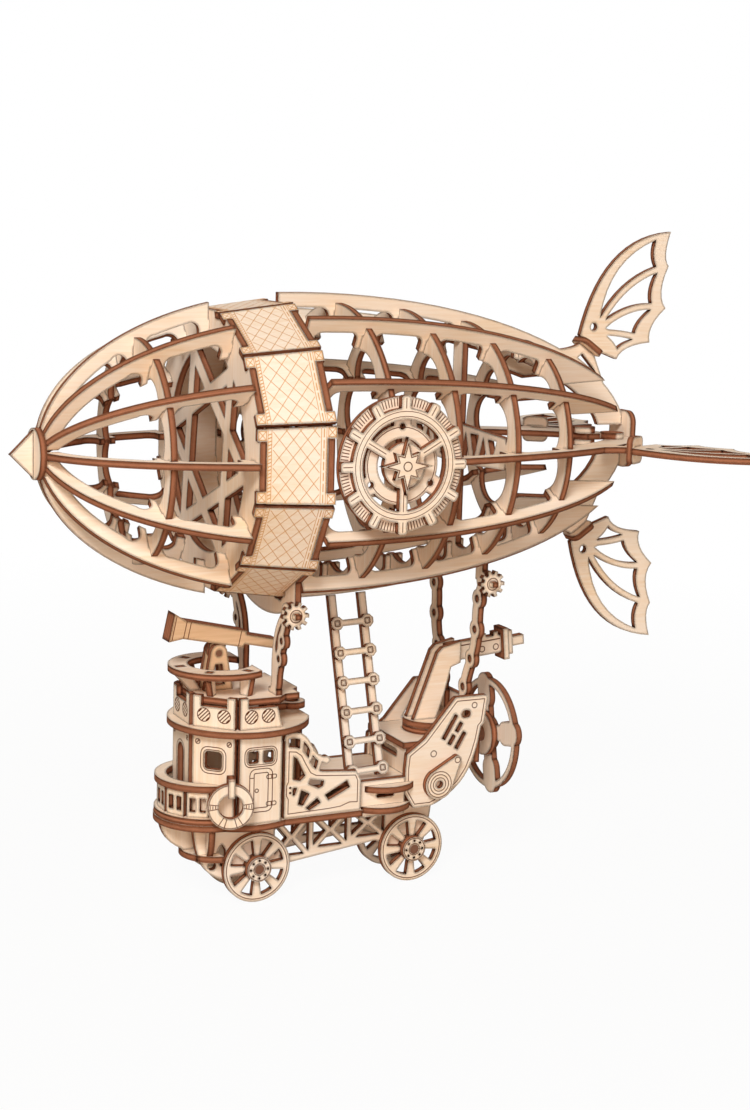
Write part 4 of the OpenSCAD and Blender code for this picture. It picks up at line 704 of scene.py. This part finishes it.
class AIRSHIP_OT_gondola_lines(bpy.types.Operator):
    """Engraves the sides, the stern, the buoy and the ladder"""
    bl_idname = "airship.gondola_lines"
    bl_label = "Gondola lines"

    def sides(self, cut, flip):
        """Line inside the outline of a side panel, and two pins at its front."""
        plane = flip @ on_side(SIDE_Y)
        x0 = SIDE_X1
        outline = [(x0 + 1.3, 29.6), (x0 + 1.3, 34.2), (x0 + 0.7, 35.4), (x0 + 0.7, 38.6), (x0 + 1.3, 39.8),
                   (x0 + 1.3, 49.2), (x0 + 3.6, 48.9), (x0 + 5.4, 47.6), (x0 + 7, 44.6), (x0 + 8.6, 41.9),
                   (x0 + 10.4, 40.9), (x0 + 13.4, 40.5), (SIDE_X2 - 2, 39.6), (SIDE_X2 - 1.2, 37.8),
                   (SIDE_X2 - 1.2, 31), (x0 + 22, 31.2), (x0 + 19, 30.2), (x0 + 15, 29.9), (x0 + 1.3, 29.6)]
        cut.path(plane, outline, width=0.26)
        for z in (36.2, 37.8):
            cut.ring(plane, (x0 + 1.9, z), 0.25, steps=8, width=0.3)

    def stern(self, cut, flip):
        """Line inside the outline of a stern panel, its bolts and the rings on the crank's cover."""
        plane = flip @ on_side(STERN_Y)
        x = STERN_X
        outline = [(x + 1.1, 39), (x + 1.5, 43), (x + 7.1, 46.9), (28.9, 58.8), (29.5, 59.4), (39.3, 59.4),
                   (38.3, 52), (37.2, 50.8), (36.4, 46.4), (35, 41.6), (33.2, 37.2), (30.6, 33.5),
                   (27.6, 30.8), (24.6, 28.7), (20.8, 27.2), (15.4, 27.2), (x + 1.1, 31.4)]
        cut.path(plane, outline, closed=True)
        for centre, radius in (((35.7, 57.6), 0.9), ((21.6, 43), 1.0), ((29.3, 40.5), 1.3)):
            cut.ring(plane, centre, radius, steps=14)
        cover = flip @ on_side(STERN_Y + PLY + SLOT_GAP)
        for radius in (2.2, 3.2, 4.2):
            cut.ring(cover, CRANK, radius, steps=24, width=0.26)
        cut.ring(cover, (CRANK[0] + 6.2, CRANK[1] + 7.4), 0.9, steps=14, width=0.26)

    def buoy(self, cut):
        """Four wrappings round the buoy, three cords on two of them and a ring near its rim."""
        plane = move(*BUOY_AT) @ turn(BUOY_TURN, "Z") @ move(PLY / 2, 0, 0)
        plane = plane @ turn(QUARTER, "Z") @ turn(QUARTER, "X")
        wrap_half, cord_half, margin = 8, 5, 0.2
        for middle in (0, 180, 245, 295):
            for side in (-wrap_half, wrap_half):
                way = heading(math.radians(middle + side))
                cut.line(plane, (BUOY_IN + margin) * way, (BUOY_R - margin) * way, width=0.26)
        for middle in (0, 180):
            for radius in (4.6, 5.4, 6.2):
                start, end = (heading(math.radians(middle + side)) for side in (-cord_half, cord_half))
                cut.line(plane, radius * start, radius * end, width=0.24)
        cut.ring(plane, (0, 0), BUOY_R - 0.35, steps=36, width=0.2)

    def ladder(self, cut):
        """Square peg at each end of a rung."""
        rise = move(*LADDER_TOP) @ turn(-LADDER_AFT, "Y") @ turn(-LADDER_LEAN, "X")
        plane = rise @ on_side(PLY + SLOT_GAP)
        pitch = (LADDER_LEN - FIRST_RUNG - LAST_RUNG) / (LADDER_RUNGS - 1)
        peg = 1.7
        for i in range(LADDER_RUNGS):
            for j in (-1, 1):
                centre = (j * LADDER_W / 2, -FIRST_RUNG - i * pitch)
                cut.frame(plane, centre, peg, peg, corner=0.15, width=0.24)

    def execute(self, context):
        sides = graver(context, "side_lines")
        stern = graver(context, "stern_lines")
        for flip in BOTH_SIDES:
            self.sides(sides, flip)
            self.stern(stern, flip)
        sides.finish("airframe", ink(context))
        stern.finish("airframe", ink(context))
        buoy = graver(context, "buoy_lines")
        self.buoy(buoy)
        buoy.finish("airframe", ink(context))
        ladder = graver(context, "ladder_lines")
        self.ladder(ladder)
        ladder.finish("airframe", ink(context))
        return {"FINISHED"}


class AIRSHIP_OT_small_lines(bpy.types.Operator):
    """Engraves the strut gears, the gun barrel, the telescope and the wheels"""
    bl_idname = "airship.small_lines"
    bl_label = "Small lines"

    def gears(self, cut):
        """Ring on each small gear at the struts' heads."""
        front_x = BAND_X + BAND_LEN - PLY / 2
        rear_x = RIB_X[2] + PLY + SLOT_GAP
        front_z = HULL_Z - HULL_R - 0.1
        rear_z = HULL_Z - hull_at(RIB_X[2]) - 0.6
        from_head = 0.15
        for x, y, z in ((front_x, GEAR_Y_FRONT, front_z), (rear_x, GEAR_Y_REAR, rear_z)):
            for flip in BOTH_SIDES:
                cut.ring(flip @ on_side(y + HEAD_R + PLY + from_head), (x, z), 1.9, steps=18)

    def gun(self, cut):
        """Two bolts and a long line on each side of the barrel."""
        barrel = move(GUN_X, 0, BARREL_Z) @ turn(-BARREL_TILT, "Y")
        for flip in BOTH_SIDES:
            plane = barrel @ flip @ on_side(CHEEK_Y - PLY - SLOT_GAP)
            for x in (17.9, 23.0):
                cut.ring(plane, (x, -0.8), 0.95, steps=14, width=0.3)
            cut.line(plane, (9.4, 1.7), (24.6, 1.7), width=0.4)

    def telescope(self, cut):
        """Lines across the tube, at its mouth, its collar, its joint and its eyepiece."""
        tube = move(*SCOPE_AT) @ turn(SCOPE_TILT, "Y")
        margin = 0.2
        for flip in BOTH_SIDES:
            plane = tube @ flip @ on_side(1.5 * PLY)
            for x, half in ((-15.8, 3.9), (-12.3, SCOPE_NECK), (-10.9, SCOPE_NECK), (5.8, 2.5), (17.4, 1.4)):
                low, high = (x, SCOPE_MID - half + margin), (x, SCOPE_MID + half - margin)
                cut.line(plane, low, high, width=0.26)

    def wheels(self, cut, x):
        """Ring near each wheel's rim and two on its hub cap."""
        for flip in BOTH_SIDES:
            cut.ring(flip @ on_side(WHEEL_Y), (x, WHEEL_R), WHEEL_R - 0.9, steps=48)
            cap = flip @ on_side(WHEEL_Y + PLY + SLOT_GAP)
            cut.ring(cap, (x, WHEEL_R), 3.6, steps=24, width=0.22)
            cut.ring(cap, (x, WHEEL_R), 1.9, steps=20, width=0.22)

    def execute(self, context):
        gears = graver(context, "gear_rings")
        self.gears(gears)
        gears.finish("airframe", ink(context))
        gun = graver(context, "gun_lines")
        self.gun(gun)
        gun.finish("gun", ink(context))
        telescope = graver(context, "telescope_lines")
        self.telescope(telescope)
        telescope.finish("spyglass", ink(context))
        for end, x in AXLES_X.items():
            wheels = graver(context, end + "_wheel_lines")
            self.wheels(wheels, x)
            wheels.finish(end + "_wheelset", ink(context))
        return {"FINISHED"}


# Stage: lengths in metres, angles in degrees, power in watts

FLOOR_SIZE = 6
FLOOR_FADE = (0.12, 0.6)
FLOOR_WHITE = (0.95, 1.0)
WHITE = (1, 1, 1, 1)
SKY_TINT = (1.0, 0.82, 0.67)
SKY_LIGHT = 0.1
LAMP_AIM = (0, 0, 0.11)
# Name, place, size, power and tint
LAMPS = (("key", (-0.7, -0.95, 1.0), 0.5, 17.4, (0.96, 1.0, 1.0)),
         ("fill", (-0.35, -1.2, 0.3), 0.9, 6.4, (1.0, 0.86, 0.74)),
         ("rim", (0.3, 1.0, 0.9), 0.8, 2.4, (1.0, 0.92, 0.84)))
# Camera at the photograph's place, found from the model's own corners
CAMERA_PLACE = (-0.2558, -0.5277, 0.2083)
CAMERA_YAW, CAMERA_PITCH, CAMERA_ROLL = -26.41, 9.953, 1.714
SENSOR_MM = 36
FOCAL_PX, LONG_SIDE_PX = 1910.885, 1110


class AIRSHIP_OT_stage(bpy.types.Operator):
    """Sets the pale floor, the soft lights and the camera"""
    bl_idname = "airship.stage"
    bl_label = "Stage"

    def floor(self, colours):
        """Floor that keeps a soft shadow near the model and turns to plain white farther out."""
        grid = bmesh.new()
        bmesh.ops.create_grid(grid, x_segments=1, y_segments=1, size=FLOOR_SIZE)
        data = bpy.data.meshes.new("floor")
        grid.to_mesh(data)
        grid.free()
        floor = bpy.data.objects.new("floor", data)
        bpy.context.scene.collection.objects.link(floor)
        material, tree = new_material("pale_floor")
        coords = add(tree, "TexCoord")
        far = add(tree, "VectorMath", {0: coords.outputs["Object"]}, operation="LENGTH")
        fade = spread(tree, far.outputs["Value"], FLOOR_WHITE, FLOOR_FADE)
        share = product(tree, seen_by_eye(tree), fade)
        dull = add(tree, "BsdfDiffuse", {"Color": rgba(colours.floor)})
        white = add(tree, "Emission", {"Color": WHITE, "Strength": 1.0})
        mix = add(tree, "MixShader", {0: share, 1: dull.outputs[0], 2: white.outputs[0]})
        add(tree, "OutputMaterial", {"Surface": mix.outputs[0]})
        data.materials.append(material)

    def sky(self, scene):
        """Sky that looks white and gives a little warm light."""
        world = bpy.data.worlds.new("white_studio")
        world.use_nodes = True
        tree = world.node_tree
        tree.nodes.clear()
        light = add(tree, "Background", {"Color": rgba(SKY_TINT), "Strength": SKY_LIGHT})
        white = add(tree, "Background", {"Color": WHITE, "Strength": 1.0})
        mix = add(tree, "MixShader", {0: seen_by_eye(tree), 1: light.outputs[0], 2: white.outputs[0]})
        add(tree, "OutputWorld", {"Surface": mix.outputs[0]})
        scene.world = world

    def lamp(self, name, place, size, power, tint):
        """Round soft lamp aimed at the model."""
        data = bpy.data.lights.new(name, "AREA")
        data.shape = "DISK"
        data.size = size
        data.energy = power
        data.color = tint
        lamp = bpy.data.objects.new(name, data)
        lamp.location = place
        lamp.rotation_euler = (Vector(LAMP_AIM) - Vector(place)).to_track_quat("-Z", "Y").to_euler()
        bpy.context.scene.collection.objects.link(lamp)

    def camera(self, scene):
        """Camera set by its yaw, pitch and roll."""
        data = bpy.data.cameras.new("camera")
        data.sensor_width = SENSOR_MM
        data.lens = data.sensor_width * FOCAL_PX / LONG_SIDE_PX
        yaw, pitch, roll = (math.radians(a) for a in (CAMERA_YAW, CAMERA_PITCH, CAMERA_ROLL))
        right = Vector((math.cos(yaw), math.sin(yaw), 0))
        back = Vector((math.sin(yaw) * math.cos(pitch), -math.cos(yaw) * math.cos(pitch), math.sin(pitch)))
        up = back.cross(right)
        right, up = (math.cos(roll) * right + math.sin(roll) * up,
                     -math.sin(roll) * right + math.cos(roll) * up)
        place = Matrix((right, up, back)).transposed().to_4x4()
        place.translation = Vector(CAMERA_PLACE)
        camera = bpy.data.objects.new("camera", data)
        camera.matrix_world = place
        scene.collection.objects.link(camera)
        scene.camera = camera

    def execute(self, context):
        scene = context.scene
        self.floor(scene.airship_colours)
        self.sky(scene)
        for lamp in LAMPS:
            self.lamp(*lamp)
        self.camera(scene)
        scene.view_settings.view_transform = "Standard"
        return {"FINISHED"}


class AIRSHIP_PT_panel(bpy.types.Panel):
    """Lists the airship's sizes and colours and the steps that dress it"""
    bl_label = "Airship"
    bl_idname = "AIRSHIP_PT_panel"
    bl_space_type = "VIEW_3D"
    bl_region_type = "UI"
    bl_category = "Airship"

    def draw(self, context):
        for group in (context.scene.airship_sizes, context.scene.airship_colours):
            column = self.layout.column()
            for name in group.__annotations__:
                column.prop(group, name)
        for operator in OPERATORS:
            self.layout.operator(operator.bl_idname)


OPERATORS = (AIRSHIP_OT_plywood, AIRSHIP_OT_quilting, AIRSHIP_OT_medallions, AIRSHIP_OT_tower_lines,
             AIRSHIP_OT_gondola_lines, AIRSHIP_OT_small_lines, AIRSHIP_OT_stage)
CLASSES = (AirshipSizes, AirshipColours) + OPERATORS + (AIRSHIP_PT_panel,)


def register():
    for cls in CLASSES:
        bpy.utils.register_class(cls)
    bpy.types.Scene.airship_sizes = PointerProperty(type=AirshipSizes)
    bpy.types.Scene.airship_colours = PointerProperty(type=AirshipColours)


def unregister():
    del bpy.types.Scene.airship_colours
    del bpy.types.Scene.airship_sizes
    for cls in reversed(CLASSES):
        bpy.utils.unregister_class(cls)


def main():
    register()
    bpy.ops.airship.plywood()
    bpy.ops.airship.quilting()
    bpy.ops.airship.medallions()
    bpy.ops.airship.tower_lines()
    bpy.ops.airship.gondola_lines()
    bpy.ops.airship.small_lines()
    bpy.ops.airship.stage()


if __name__ == "__main__":
    main()
